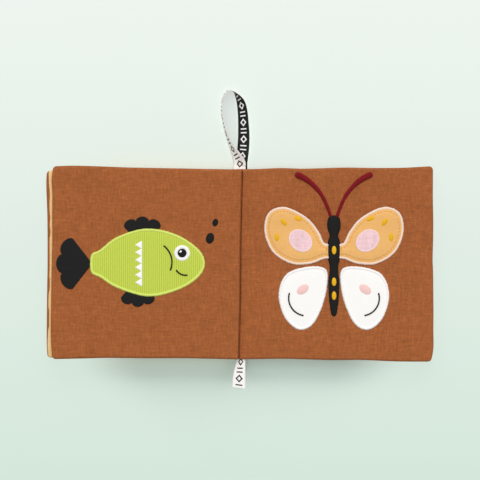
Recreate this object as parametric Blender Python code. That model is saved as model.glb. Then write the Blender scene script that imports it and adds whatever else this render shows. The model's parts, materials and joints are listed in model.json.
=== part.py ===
"""A crinkle cloth book that lies open on a table.

Metres. X runs across the open spread, Y along the spine and Z up. The origin is the
middle of the spine, on the table. Three padded leaves turn about one line over the
spine: the front cover and the middle leaf lie on the left, the back cover on the right.
"""

from math import cos, pi, radians, sin

import bmesh
import bpy
import numpy as np
from mathutils import Vector

# Clearances between neighbours
SOFT_GAP = 0.0003
HINGE_CLEARANCE = 0.0004
CLOSED_BOOK_GAP = 0.0004

# Leaves: two cloth shells over wadding and a crinkle film
PAGE_HEIGHT = 0.160
COVER_WIDTH = 0.160
MIDDLE_LEAF_SETBACK = 0.0025
WADDING_THICKNESS = 0.0029
FILM_THICKNESS = 0.0003
FILM_HEADROOM = 0.0005
CLOTH_WALL = 0.00055
LEAF_CORNER_RADIUS = 0.004
LEAF_EDGE_ROUNDING = 0.0032
SPINE_MARGIN_WIDTH = 0.0054
SPINE_MARGIN_THICKNESS = 0.0011
SPINE_SLOPE_WIDTH = 0.003
FILLING_SETBACK = 0.0042
WADDING_RIM = 0.0006

# Spine cloth, the seam thread on it and the tapes sewn into it
SPINE_CLOTH_WIDTH = 0.012
SPINE_CLOTH_THICKNESS = 0.0005
SEAM_THREAD_WIDTH = 0.0007
SEAM_THREAD_HEIGHT = 0.0005
SEAM_THREAD_END_GAP = 0.002
TAPE_WIDTH = 0.010
TAPE_THICKNESS = 0.0004
TAPE_LAYER_GAP = 0.00025
TAPE_SEWN_LENGTH = 0.012
TAPE_SEWN_SETBACK = 0.0001
TAPE_HINGE_SETOFF = 0.0006
TAPE_FREE_SETOFF = 0.0005
LOOP_REACH = 0.0635
LOOP_LIFT = 0.0005
TAG_LENGTH = 0.022
TAG_SLANT = 0.0018

# Appliqué layers
PATCH_THICKNESS = 0.0009
BORDER_THICKNESS = 0.0011
EMBROIDERY_THICKNESS = 0.0004
FELT_THICKNESS = 0.0008
PADDED_TRIM_THICKNESS = 0.0022
PADDED_TRIM_CROWN = 0.0011
PATCH_RIM = 0.0002

# Fish on the left page
FISH_LENGTH = 0.094
FISH_HEIGHT = 0.058
FISH_TO_SPINE = 0.076
FISH_BORDER_WIDTH = 0.0024
FISH_TAIL_REACH = 0.030
FISH_TAIL_SETBACK = 0.001
FISH_BACK_FIN_REACH = 0.025
FISH_BELLY_FIN_REACH = 0.023
FISH_EYE_RADIUS = 0.0065
FISH_PUPIL_RADIUS = 0.0034
FISH_GILL_RADIUS = 0.017
FISH_MOUTH_RADIUS = 0.009
FISH_TRIANGLE_WIDTH = 0.0062
FISH_TRIANGLE_HEIGHT = 0.0050
FISH_TRIANGLE_BAND = 0.0010
BUBBLE_LONG_RADIUS = 0.0046
BUBBLE_SHORT_RADIUS = 0.0034
BUBBLE_SPACING = 0.013
LINE_WIDTH = 0.0008

# Butterfly on the right page
BUTTERFLY_TO_SPINE = 0.078
BUTTERFLY_WAIST_HEIGHT = -0.002
UPPER_WING_WIDTH = 0.050
UPPER_WING_HEIGHT = 0.048
LOWER_WING_WIDTH = 0.040
LOWER_WING_HEIGHT = 0.052
WING_BORDER_WIDTH = 0.0023
WING_SPACING = 0.0016
WING_HINGE_SETOFF = 0.0022
BODY_LENGTH = 0.082
BODY_HALF_WIDTH = 0.0056
ANTENNA_REACH_X = 0.027
ANTENNA_REACH_Y = 0.033
ANTENNA_HALF_WIDTH = 0.0024
SEED_LONG_RADIUS = 0.0036
SEED_SHORT_RADIUS = 0.0019
WING_PATCH_RADIUS_X = 0.0105
WING_PATCH_RADIUS_Y = 0.0085
WING_OVAL_RADIUS_X = 0.0055
WING_OVAL_RADIUS_Y = 0.0036
WING_LINE_RADIUS = 0.0145

# Shapes as shares of the sizes above, counter-clockwise
FISH_OUTLINE_SHARES = (
    (0.50, 0.00), (0.44, 0.21), (0.24, 0.42), (-0.02, 0.50), (-0.27, 0.38), (-0.42, 0.20),
    (-0.50, 0.12), (-0.50, -0.12), (-0.42, -0.20), (-0.27, -0.35), (0.00, -0.47),
    (0.26, -0.38), (0.44, -0.20),
)
UPPER_WING_SHARES = (
    (0.00, 0.12), (0.22, 0.02), (0.55, 0.02), (0.86, 0.22), (1.00, 0.58), (0.93, 0.90),
    (0.66, 1.00), (0.30, 0.82), (0.05, 0.58), (0.00, 0.35),
)
LOWER_WING_SHARES = (
    (0.02, -0.04), (0.00, -0.34), (0.12, -0.68), (0.32, -0.94), (0.60, -1.00), (0.88, -0.80),
    (1.00, -0.44), (0.84, -0.12), (0.40, 0.00),
)
BODY_HALF_OUTLINE_SHARES = (
    (0.30, 0.00), (0.72, 0.16), (0.80, 0.34), (0.62, 0.48), (0.95, 0.60), (0.94, 0.72),
    (0.62, 0.80), (0.98, 0.87), (0.92, 0.96), (0.40, 1.00),
)
ANTENNA_ROUTE_SHARES = (
    (0.00, 0.00), (0.10, 0.22), (0.24, 0.46), (0.42, 0.66), (0.62, 0.82), (0.82, 0.93), (1.00, 1.00),
)
ANTENNA_WIDTH_SHARES = (0.55, 0.55, 0.60, 0.68, 0.80, 1.00, 1.05)
ANTENNA_FOOT_X_SHARE = 0.55
FISH_EYE_SHARES = (0.30, 0.15)
FISH_GILL_SHARES = (0.03, 0.02)
FISH_MOUTH_SHARES = (0.33, -0.01)
FISH_TRIANGLES_SHARES = (-0.05, 0.32)
FISH_BACK_FIN_SHARES = (-0.05, 0.24)
FISH_BELLY_FIN_SHARES = (-0.09, -0.22)
BUBBLE_SHARES = (0.545, 0.36)
UPPER_WING_PATCH_SHARES = (0.40, 0.42)
UPPER_WING_SEED_SHARES = ((0.44, 0.80), (0.68, 0.74), (0.79, 0.48))
UPPER_WING_SEED_TURNS = (radians(-68), radians(-38), radians(5))
LOWER_WING_OVAL_SHARES = (0.50, -0.36)
LOWER_WING_OVAL_TURN = radians(-35)
LOWER_WING_LINE_SHARES = (0.43, -0.50)
LOWER_WING_LINE_ENDS = (radians(-82), radians(18))
BODY_SEED_SHARES = (0.20, 0.34, 0.66)
# X and Y as shares of the loop's reach, then the tape's tilt as a share of a half turn
LOOP_ROUTE_SHARES = (
    (-0.006, 0.008, 0.00), (-0.006, 0.050, 0.02), (-0.043, 0.140, 0.09), (-0.105, 0.262, 0.24),
    (-0.173, 0.417, 0.41), (-0.217, 0.578, 0.49), (-0.241, 0.735, 0.50), (-0.222, 0.891, 0.50),
    (-0.167, 0.986, 0.50), (-0.118, 0.998, 0.52), (-0.058, 0.943, 0.61), (0.000, 0.839, 0.73),
    (0.027, 0.709, 0.79), (0.039, 0.551, 0.80), (0.043, 0.395, 0.80), (0.033, 0.238, 0.86),
    (0.020, 0.125, 0.94), (0.013, 0.050, 0.99), (0.013, 0.008, 1.00),
)
LOOP_LIFT_SHARES = (0.0, 0.22, 0.80, 1.0)

# How finely round shapes are drawn
CORNER_STEPS = 5
EDGE_STEPS = 4
OUTLINE_STEPS = 40
SMALL_OUTLINE_STEPS = 16
PADDING_STEPS = 2
TAPE_STEPS = 60
LINE_STEPS = 12
FAN_STEPS = 36
FAN_LOBES = 3
FAN_LOBE_SHARE = 0.14
TAIL_SPREAD = radians(104)
FIN_SPREAD = radians(86)
TRIANGLE_COUNT = 6

# Heights and places that follow from the sizes
LEAF_THICKNESS = (
    2 * CLOTH_WALL + SOFT_GAP + WADDING_THICKNESS + SOFT_GAP + FILM_THICKNESS + FILM_HEADROOM
)
LEAF_HALF = LEAF_THICKNESS / 2
COVER_MIDDLE_Z = LEAF_HALF
MIDDLE_LEAF_MIDDLE_Z = LEAF_THICKNESS + SOFT_GAP + LEAF_HALF
LEFT_PAGE_Z = MIDDLE_LEAF_MIDDLE_Z + LEAF_HALF
RIGHT_PAGE_Z = LEAF_THICKNESS
MIDDLE_LEAF_WIDTH = COVER_WIDTH - MIDDLE_LEAF_SETBACK
SPINE_SLOPE_END = SPINE_MARGIN_WIDTH + SPINE_SLOPE_WIDTH
SEAM_HALF_GAP = SOFT_GAP / 2
FISH_BASE_Z = LEFT_PAGE_Z + SOFT_GAP
FISH_TRIM_Z = FISH_BASE_Z + PATCH_THICKNESS + SOFT_GAP
FISH_TOP_Z = FISH_TRIM_Z + max(EMBROIDERY_THICKNESS, LINE_WIDTH)
BUTTERFLY_BASE_Z = RIGHT_PAGE_Z + SOFT_GAP
PADDED_TOP_Z = BUTTERFLY_BASE_Z + PADDED_TRIM_THICKNESS
PADDED_TRIM_Z = PADDED_TOP_Z + SOFT_GAP
LOWER_WING_TRIM_Z = BUTTERFLY_BASE_Z + PATCH_THICKNESS + SOFT_GAP
BUTTERFLY_TOP_Z = PADDED_TRIM_Z + EMBROIDERY_THICKNESS
HINGE_HEIGHT = (FISH_TOP_Z + BUTTERFLY_TOP_Z + CLOSED_BOOK_GAP) / 2
SEWN_TAPE_BOTTOM = SPINE_CLOTH_THICKNESS + SOFT_GAP
SEWN_TAPE_TOP = COVER_MIDDLE_Z - SPINE_MARGIN_THICKNESS / 2 - SOFT_GAP
LOWER_LAYER_Z = SEWN_TAPE_BOTTOM + TAPE_THICKNESS / 2
UPPER_LAYER_Z = LOWER_LAYER_Z + TAPE_THICKNESS + TAPE_LAYER_GAP
TAPE_HINGE_Y = PAGE_HEIGHT / 2 + TAPE_HINGE_SETOFF
TAPE_HINGE_Z = (LOWER_LAYER_Z + UPPER_LAYER_Z) / 2
FISH_X = -FISH_TO_SPINE
WING_HINGE_OFFSET = BODY_HALF_WIDTH + WING_HINGE_SETOFF
UPPER_WING_Y = BUTTERFLY_WAIST_HEIGHT + WING_SPACING / 2
LOWER_WING_Y = BUTTERFLY_WAIST_HEIGHT - WING_SPACING / 2
BODY_BOTTOM_Y = BUTTERFLY_WAIST_HEIGHT - BODY_LENGTH / 2

MATERIALS = {
    "brown_cloth": ((0.36, 0.118, 0.039), 0.92),
    "tan_cloth": ((0.74, 0.52, 0.24), 0.90),
    "white_wadding": ((0.88, 0.88, 0.86), 0.95),
    "clear_film": ((0.80, 0.82, 0.84), 0.25),
    "brown_thread": ((0.16, 0.03, 0.008), 0.80),
    "woven_tape": ((0.90, 0.90, 0.88), 0.75),
    "lime_rib": ((0.54, 0.66, 0.08), 0.90),
    "green_satin": ((0.67, 0.77, 0.15), 0.55),
    "black_felt": ((0.012, 0.012, 0.012), 0.98),
    "black_satin": ((0.010, 0.010, 0.010), 0.55),
    "white_satin": ((0.94, 0.93, 0.91), 0.55),
    "white_cloth": ((0.92, 0.91, 0.88), 0.90),
    "orange_cloth": ((0.87, 0.49, 0.16), 0.90),
    "pink_satin": ((0.93, 0.74, 0.60), 0.55),
    "pink_cloth": ((0.88, 0.62, 0.66), 0.90),
    "mustard_satin": ((0.84, 0.44, 0.01), 0.50),
    "red_cloth": ((0.24, 0.014, 0.016), 0.85),
}


def clear_scene():
    """Take away what the new file starts with."""
    for item in list(bpy.data.objects):
        bpy.data.objects.remove(item)


def make_material(name):
    """One Principled finish, from the table of colours and roughnesses."""
    found = bpy.data.materials.get(name)
    if found:
        return found
    colour, roughness = MATERIALS[name]
    made = bpy.data.materials.new(name)
    made.use_nodes = True
    shader = made.node_tree.nodes["Principled BSDF"]
    shader.inputs["Base Color"].default_value = (*colour, 1)
    shader.inputs["Roughness"].default_value = roughness
    shader.inputs["Metallic"].default_value = 0
    made.diffuse_color = (*colour, 1)
    return made


def pivot(name, place):
    """An empty on a joint's axis that carries the pieces which turn about it."""
    empty = bpy.data.objects.new(name, None)
    empty.location = place
    bpy.context.collection.objects.link(empty)
    return empty


def keep_mesh(name, mesh_data, material, carrier, smooth_angle=radians(35)):
    """Turn a bmesh in world places into an object under its carrier."""
    bmesh.ops.recalc_face_normals(mesh_data, faces=mesh_data.faces)
    bmesh.ops.translate(mesh_data, verts=mesh_data.verts, vec=-Vector(carrier.location))
    mesh = bpy.data.meshes.new(name)
    mesh_data.to_mesh(mesh)
    mesh_data.free()
    mesh.shade_smooth()
    mesh.set_sharp_from_angle(angle=smooth_angle)
    mesh.materials.append(make_material(material))
    item = bpy.data.objects.new(name, mesh)
    item.parent = carrier
    bpy.context.collection.objects.link(item)
    return item


def smooth_outline(points, steps=OUTLINE_STEPS):
    """A closed curve through the points, each stretch a cubic with the tangents of its neighbours."""
    points = np.array(points, float)
    at = np.arange(steps) * len(points) / steps
    index = at.astype(int)
    part = (at - index)[:, None]
    before, here, after, later = (points[(index + shift) % len(points)] for shift in (-1, 0, 1, 2))
    return (
        here
        + 0.5 * part * (after - before)
        + part**2 * (before - 2.5 * here + 2 * after - 0.5 * later)
        + part**3 * (1.5 * (here - after) + 0.5 * (later - before))
    )


def smooth_route(points, steps):
    """An open curve through the points, on the same cubics, with its ends carried on straight."""
    points = np.array(points, float)
    longer = np.vstack([2 * points[0] - points[1], points, 2 * points[-1] - points[-2]])
    at = np.linspace(0, len(points) - 1, steps)
    index = np.minimum(at.astype(int), len(points) - 2)
    part = (at - index)[:, None]
    before, here, after, later = (longer[index + shift] for shift in (0, 1, 2, 3))
    return (
        here
        + 0.5 * part * (after - before)
        + part**2 * (before - 2.5 * here + 2 * after - 0.5 * later)
        + part**3 * (1.5 * (here - after) + 0.5 * (later - before))
    )


def moved_inwards(outline, distance):
    """The outline drawn in by a distance, along the normals of its corners."""
    along = np.roll(outline, -1, axis=0) - np.roll(outline, 1, axis=0)
    along = along / np.linalg.norm(along, axis=1, keepdims=True)
    return outline + distance * np.stack([-along[:, 1], along[:, 0]], axis=1)


def oval(centre, radius_x, radius_y, turn=0, steps=SMALL_OUTLINE_STEPS):
    """An ellipse about a centre, turned by an angle."""
    angle = np.arange(steps) * 2 * pi / steps
    across = radius_x * np.cos(angle)
    up = radius_y * np.sin(angle)
    return np.stack(
        [
            centre[0] + across * cos(turn) - up * sin(turn),
            centre[1] + across * sin(turn) + up * cos(turn),
        ],
        axis=1,
    )


def raised(outline, low, high, rim, rounds=1):
    """A solid of an outline, with its upper rim drawn in by rim in rounds of a quarter circle."""
    piece = bmesh.new()
    face = piece.faces.new([piece.verts.new((x, y, low)) for x, y in outline])
    face.normal_update()
    if face.normal.z < 0:
        face.normal_flip()
    lifted = bmesh.ops.extrude_face_region(piece, geom=[face], use_keep_orig=True)["geom"]
    top = next(item for item in lifted if isinstance(item, bmesh.types.BMFace))
    bmesh.ops.translate(piece, verts=top.verts, vec=(0, 0, high - low - rim))
    for step in range(rounds):
        start = step / rounds * pi / 2
        end = (step + 1) / rounds * pi / 2
        bmesh.ops.inset_region(
            piece,
            faces=[top],
            thickness=rim * (cos(start) - cos(end)),
            depth=rim * (sin(end) - sin(start)),
            use_even_offset=True,
        )
    return piece


def raised_ring(outline, width, low, high):
    """A satin band of one width that follows an outline on its inner side."""
    piece = bmesh.new()
    inner = moved_inwards(outline, width)
    rings = [
        [piece.verts.new((x, y, height)) for x, y in edge]
        for edge, height in ((outline, low), (outline, high), (inner, high), (inner, low))
    ]
    join_rings(piece, rings, closed=True)
    return piece


def join_rings(piece, rings, closed=False):
    """Faces between each ring of corners and the next, and from the last to the first if closed."""
    pairs = list(zip(rings, rings[1:]))
    if closed:
        pairs.append((rings[-1], rings[0]))
    for first, second in pairs:
        for here in range(len(first)):
            after = (here + 1) % len(first)
            piece.faces.new((first[here], first[after], second[after], second[here]))


def leaf_ring(width, free_inset, free_height, spine_inset, spine_height):
    """One level line of a leaf: round outer corners, and a low edge beside the spine."""
    outer = width - free_inset
    half = PAGE_HEIGHT / 2 - free_inset
    radius = max(LEAF_CORNER_RADIUS - free_inset, LEAF_CORNER_RADIUS / CORNER_STEPS)
    beside = SPINE_SLOPE_END + LEAF_EDGE_ROUNDING
    low = min(free_height, spine_height)
    points = [(spine_inset, -half, low), (beside, -half, free_height)]
    for centre_y, start in ((-half + radius, -pi / 2), (half - radius, 0)):
        for step in range(CORNER_STEPS):
            angle = start + step / (CORNER_STEPS - 1) * pi / 2
            points.append(
                (outer - radius + radius * cos(angle), centre_y + radius * sin(angle), free_height)
            )
    points += [(beside, half, free_height), (spine_inset, half, low)]
    return points


def leaf_cloth(name, side, width, middle_z, facing, material, carrier):
    """One cloth shell of a leaf: an open tray, whose rim is sewn to the other shell's."""
    seam = SEAM_HALF_GAP
    margin = SPINE_MARGIN_THICKNESS / 2
    outer_spine = (
        (0, seam),
        (0, margin),
        (SPINE_MARGIN_WIDTH, margin),
        ((SPINE_MARGIN_WIDTH + SPINE_SLOPE_END) / 2, (margin + LEAF_HALF) / 2),
        (SPINE_SLOPE_END, LEAF_HALF),
    )
    cavity_start = SPINE_MARGIN_WIDTH + 3 * CLOTH_WALL
    cavity_end = SPINE_SLOPE_END + 2 * CLOTH_WALL
    cavity_half = LEAF_HALF - CLOTH_WALL
    levels = []
    for step in range(EDGE_STEPS + 1):
        angle = step / EDGE_STEPS * pi / 2
        levels.append(
            leaf_ring(
                width,
                LEAF_EDGE_ROUNDING * (1 - cos(angle)),
                seam + (LEAF_HALF - seam) * sin(angle),
                *outer_spine[step],
            )
        )
    hollow = []
    for step in range(EDGE_STEPS + 1):
        angle = step / EDGE_STEPS * pi / 2
        share = step / EDGE_STEPS
        hollow.append(
            leaf_ring(
                width,
                CLOTH_WALL + LEAF_EDGE_ROUNDING * (1 - cos(angle)),
                seam + (cavity_half - seam) * sin(angle),
                cavity_start + (cavity_end - cavity_start) * share,
                seam + (cavity_half - seam) * share,
            )
        )
    piece = bmesh.new()
    rings = [
        [
            piece.verts.new((side * (HINGE_CLEARANCE + u), v, middle_z + facing * z))
            for u, v, z in level
        ]
        for level in levels[::-1] + hollow
    ]
    join_rings(piece, rings)
    piece.faces.new(rings[0])
    piece.faces.new(rings[-1])
    return keep_mesh(name, piece, material, carrier, radians(50))


def leaf_filling(name, side, width, low, high, material, carrier, rim=0):
    """A flat slab inside a leaf, clear of its sewn edges."""
    near = HINGE_CLEARANCE + SPINE_SLOPE_END + FILLING_SETBACK - CLOTH_WALL
    far = HINGE_CLEARANCE + width - FILLING_SETBACK
    half = PAGE_HEIGHT / 2 - FILLING_SETBACK
    radius = LEAF_CORNER_RADIUS
    corners = ((far, half, 0), (near, half, 1), (near, -half, 2), (far, -half, 3))
    outline = []
    for u, v, quarter in corners:
        centre_u = u + (radius if u == near else -radius)
        centre_v = v + (radius if v < 0 else -radius)
        for step in range(CORNER_STEPS):
            angle = (quarter + step / (CORNER_STEPS - 1)) * pi / 2
            outline.append(
                (side * (centre_u + radius * cos(angle)), centre_v + radius * sin(angle))
            )
    piece = raised(outline, low, high, rim, rounds=1 if rim else 0)
    return keep_mesh(name, piece, material, carrier)


def make_leaf(name, side, width, middle_z, cloths, carrier):
    """A leaf: lower and upper cloth, wadding, and the film that crackles."""
    (lower, lower_material), (upper, upper_material) = cloths
    leaf_cloth(f"{name}_{lower}", side, width, middle_z, -1, lower_material, carrier)
    leaf_cloth(f"{name}_{upper}", side, width, middle_z, 1, upper_material, carrier)
    wadding_low = middle_z - LEAF_HALF + CLOTH_WALL + SOFT_GAP
    wadding_high = wadding_low + WADDING_THICKNESS
    leaf_filling(
        f"{name}_wadding", side, width, wadding_low, wadding_high, "white_wadding", carrier, WADDING_RIM
    )
    film_low = wadding_high + SOFT_GAP
    leaf_filling(
        f"{name}_crinkle_film",
        side,
        width,
        film_low,
        film_low + FILM_THICKNESS,
        "clear_film",
        carrier,
    )


def bar(name, x_range, y_range, z_range, material, carrier):
    """A straight flat strip between two corners."""
    piece = bmesh.new()
    bmesh.ops.create_cube(piece, size=1)
    for corner in piece.verts:
        for axis, (low, high) in enumerate((x_range, y_range, z_range)):
            corner.co[axis] = low if corner.co[axis] < 0 else high
    return keep_mesh(name, piece, material, carrier)


def make_spine(carrier):
    """The strip that joins the covers, its seam thread and the sewn-in ends of both tapes."""
    half_height = PAGE_HEIGHT / 2
    half_strip = SPINE_CLOTH_WIDTH / 2
    half_tape = TAPE_WIDTH / 2
    half_thread = SEAM_THREAD_WIDTH / 2
    bar(
        "spine_cloth",
        (-half_strip, half_strip),
        (-half_height, half_height),
        (0, SPINE_CLOTH_THICKNESS),
        "brown_cloth",
        carrier,
    )
    sewn_outer = half_height - TAPE_SEWN_SETBACK
    sewn_inner = sewn_outer - TAPE_SEWN_LENGTH
    sewn_heights = (SEWN_TAPE_BOTTOM, SEWN_TAPE_TOP)
    tape_across = (-half_tape, half_tape)
    bar("loop_tape_ends", tape_across, (sewn_inner, sewn_outer), sewn_heights, "woven_tape", carrier)
    bar("tag_tape_ends", tape_across, (-sewn_outer, -sewn_inner), sewn_heights, "woven_tape", carrier)
    thread_end = sewn_inner - SEAM_THREAD_END_GAP
    bar(
        "spine_seam_thread",
        (-half_thread, half_thread),
        (-thread_end, thread_end),
        (SEWN_TAPE_BOTTOM, SEWN_TAPE_BOTTOM + SEAM_THREAD_HEIGHT),
        "brown_thread",
        carrier,
    )


def ribbon(centres, widths):
    """A flat tape along its middle line, in triangles because a turning tape has no flat quads."""
    along = np.gradient(centres, axis=0)
    along = along / np.linalg.norm(along, axis=1, keepdims=True)
    across = widths - (widths * along).sum(1, keepdims=True) * along
    across = across / np.linalg.norm(across, axis=1, keepdims=True) * TAPE_WIDTH / 2
    through = np.cross(across, along)
    through = through / np.linalg.norm(through, axis=1, keepdims=True) * TAPE_THICKNESS / 2
    piece = bmesh.new()
    rings = [
        [piece.verts.new(corner) for corner in (c - a - t, c + a - t, c + a + t, c - a + t)]
        for c, a, t in zip(centres, across, through)
    ]
    join_rings(piece, rings)
    piece.faces.new(rings[0])
    piece.faces.new(rings[-1])
    bmesh.ops.triangulate(piece, faces=piece.faces[:])
    return piece


def make_hanging_loop(carrier):
    """A tape with both ends in the spine: it turns over by half a turn on its way round."""
    route = smooth_route(LOOP_ROUTE_SHARES, TAPE_STEPS)
    tilt = route[:, 2] * pi
    start = UPPER_LAYER_Z
    end = LOWER_LAYER_Z
    lift = np.interp(
        np.linspace(0, 1, TAPE_STEPS), LOOP_LIFT_SHARES, (start, LOOP_LIFT, LOOP_LIFT, end)
    )
    centres = np.stack(
        [
            LOOP_REACH * route[:, 0],
            TAPE_HINGE_Y + LOOP_REACH * route[:, 1],
            lift + TAPE_WIDTH / 2 * np.sin(tilt),
        ],
        axis=1,
    )
    flat_route = np.gradient(centres[:, :2], axis=0)
    flat_route = flat_route / np.linalg.norm(flat_route, axis=1, keepdims=True)
    widths = np.stack(
        [flat_route[:, 1] * np.cos(tilt), -flat_route[:, 0] * np.cos(tilt), np.sin(tilt)], axis=1
    )
    keep_mesh("hanging_loop", ribbon(centres, widths), "woven_tape", carrier)


def make_tag(carrier):
    """A short tape folded in two below the spine, a little slanted."""
    start_y = TAPE_HINGE_Y + TAPE_FREE_SETOFF
    fold_radius = (UPPER_LAYER_Z - LOWER_LAYER_Z) / 2
    fold_y = start_y + TAG_LENGTH - fold_radius - TAPE_THICKNESS / 2
    turn = np.linspace(pi / 2, -pi / 2, LINE_STEPS)
    line_y = np.concatenate([[start_y], fold_y + fold_radius * np.cos(turn), [start_y]])
    line_z = np.concatenate(
        [[UPPER_LAYER_Z], TAPE_HINGE_Z + fold_radius * np.sin(turn), [LOWER_LAYER_Z]]
    )
    line_x = -TAG_SLANT * (line_y - start_y) / TAG_LENGTH
    centres = np.stack([line_x, -line_y, line_z], axis=1)
    widths = np.tile((1.0, -TAG_SLANT / TAG_LENGTH, 0.0), (len(centres), 1))
    keep_mesh("tag", ribbon(centres, widths), "woven_tape", carrier)


def stitched_line(name, points, height, material, carrier):
    """A thin embroidered line: a curve with a round section and filled ends."""
    curve = bpy.data.curves.new(name, "CURVE")
    curve.dimensions = "3D"
    curve.bevel_depth = LINE_WIDTH / 2
    curve.bevel_resolution = 1
    curve.use_fill_caps = True
    spline = curve.splines.new("POLY")
    spline.points.add(len(points) - 1)
    base = Vector(carrier.location)
    middle = height + LINE_WIDTH / 2
    for corner, (x, y) in zip(spline.points, points):
        corner.co = (x - base.x, y - base.y, middle - base.z, 1)
    curve.materials.append(make_material(material))
    item = bpy.data.objects.new(name, curve)
    item.parent = carrier
    bpy.context.collection.objects.link(item)


def arc(centre, radius, start, end):
    """Points along a circular arc."""
    angle = np.linspace(start, end, LINE_STEPS)
    return np.stack(
        [centre[0] + radius * np.cos(angle), centre[1] + radius * np.sin(angle)], axis=1
    )


def fan(centre, reach, middle_angle, spread):
    """A fan from its centre, whose outer edge has round lobes."""
    share = np.linspace(0, 1, FAN_STEPS)
    angle = middle_angle + (share - 1 / 2) * spread
    lobes = np.abs(np.sin(FAN_LOBES * pi * share))
    radius = reach * (1 - FAN_LOBE_SHARE + FAN_LOBE_SHARE * np.sqrt(lobes))
    edge = np.stack([centre[0] + radius * np.cos(angle), centre[1] + radius * np.sin(angle)], axis=1)
    return np.vstack([[centre], edge])


def fish_place(shares):
    """A place on the fish, in shares of its length and height from its middle."""
    return (FISH_X + shares[0] * FISH_LENGTH, shares[1] * FISH_HEIGHT)


def fish_felt(name, centre, reach, middle_angle, spread, body_outline, carrier):
    """A felt fan that comes out from behind the body, cut along the body's edge."""
    piece = raised(
        fan(centre, reach, middle_angle, spread),
        FISH_BASE_Z,
        FISH_BASE_Z + FELT_THICKNESS,
        FELT_THICKNESS / 8,
    )
    felt = keep_mesh(name, piece, "black_felt", carrier)
    shape = raised(
        moved_inwards(body_outline, -SOFT_GAP),
        FISH_BASE_Z - FELT_THICKNESS,
        FISH_BASE_Z + 2 * FELT_THICKNESS,
        FELT_THICKNESS / 8,
    )
    cutter = keep_mesh(f"{name}_cutter", shape, "black_felt", carrier)
    cutter.hide_render = True
    cutter.display_type = "WIRE"
    cut = felt.modifiers.new("Body edge", "BOOLEAN")
    cut.operation = "DIFFERENCE"
    cut.solver = "EXACT"
    cut.object = cutter


def triangle_row():
    """The outline of a narrow upright band whose triangles point to the tail."""
    right, top = fish_place(FISH_TRIANGLES_SHARES)
    left = right - FISH_TRIANGLE_BAND
    length = TRIANGLE_COUNT * FISH_TRIANGLE_WIDTH
    points = [(left, top)]
    for number in range(TRIANGLE_COUNT):
        start = top - number * FISH_TRIANGLE_WIDTH
        points.append((left - FISH_TRIANGLE_HEIGHT, start - FISH_TRIANGLE_WIDTH / 2))
        points.append((left, start - FISH_TRIANGLE_WIDTH))
    points += [(right, top - length), (right, top)]
    return points


def make_fish(carrier):
    """A lime fish with felt fins, an embroidered eye and a band of white triangles."""
    outline = smooth_outline([fish_place(shares) for shares in FISH_OUTLINE_SHARES])
    body = moved_inwards(outline, FISH_BORDER_WIDTH + SOFT_GAP)
    patch_top = FISH_BASE_Z + PATCH_THICKNESS
    trim_top = FISH_TRIM_Z + EMBROIDERY_THICKNESS
    trim_rim = EMBROIDERY_THICKNESS / 4
    keep_mesh("fish_body", raised(body, FISH_BASE_Z, patch_top, PATCH_RIM), "lime_rib", carrier)
    keep_mesh(
        "fish_border",
        raised_ring(outline, FISH_BORDER_WIDTH, FISH_BASE_Z, FISH_BASE_Z + BORDER_THICKNESS),
        "green_satin",
        carrier,
    )
    tail_root = (FISH_X - FISH_LENGTH / 2 + FISH_TAIL_SETBACK, 0)
    back_root = fish_place(FISH_BACK_FIN_SHARES)
    belly_root = fish_place(FISH_BELLY_FIN_SHARES)
    fish_felt("fish_tail", tail_root, FISH_TAIL_REACH, pi, TAIL_SPREAD, outline, carrier)
    fish_felt(
        "fish_back_fin", back_root, FISH_BACK_FIN_REACH, pi / 2, FIN_SPREAD, outline, carrier
    )
    fish_felt(
        "fish_belly_fin", belly_root, FISH_BELLY_FIN_REACH, -pi / 2, FIN_SPREAD, outline, carrier
    )
    eye = fish_place(FISH_EYE_SHARES)
    eye_outline = oval(eye, FISH_EYE_RADIUS, FISH_EYE_RADIUS)
    eye_band = FISH_EYE_RADIUS - FISH_PUPIL_RADIUS - SOFT_GAP
    keep_mesh(
        "fish_eye", raised_ring(eye_outline, eye_band, FISH_TRIM_Z, trim_top), "white_satin", carrier
    )
    pupil = oval(eye, FISH_PUPIL_RADIUS, FISH_PUPIL_RADIUS)
    keep_mesh("fish_pupil", raised(pupil, FISH_TRIM_Z, trim_top, trim_rim), "black_satin", carrier)
    keep_mesh(
        "fish_triangles",
        raised(triangle_row(), FISH_TRIM_Z, trim_top, trim_rim),
        "white_satin",
        carrier,
    )
    gill_centre = fish_place(FISH_GILL_SHARES)
    stitched_line(
        "fish_gill_line",
        arc(gill_centre, FISH_GILL_RADIUS, radians(-24), radians(54)),
        FISH_TRIM_Z,
        "black_satin",
        carrier,
    )
    mouth_centre = fish_place(FISH_MOUTH_SHARES)
    stitched_line(
        "fish_mouth_line",
        arc(mouth_centre, FISH_MOUTH_RADIUS, radians(-150), radians(-78)),
        FISH_TRIM_Z,
        "black_satin",
        carrier,
    )
    bubble_x, bubble_y = fish_place(BUBBLE_SHARES)
    bubble_top = FISH_BASE_Z + EMBROIDERY_THICKNESS
    for name, number, size_share in (("bubble_large", 0, 1.0), ("bubble_small", 1, 0.7)):
        place = (bubble_x + number * BUBBLE_SPACING / 3, bubble_y + number * BUBBLE_SPACING)
        across = size_share * BUBBLE_SHORT_RADIUS
        up = size_share * BUBBLE_LONG_RADIUS
        shape = oval(place, across, up, radians(-14))
        keep_mesh(name, raised(shape, FISH_BASE_Z, bubble_top, trim_rim), "black_satin", carrier)


def wing_outline(shares, side, start_x, start_y, width, height):
    """A wing's outline on one side of the body, kept outside its straight inner edge."""
    points = smooth_outline([(x * width, y * height) for x, y in shares])
    points[:, 0] = np.maximum(points[:, 0], 0)
    placed = np.stack([start_x + side * points[:, 0], start_y + points[:, 1]], axis=1)
    return placed if side > 0 else placed[::-1]


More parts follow.
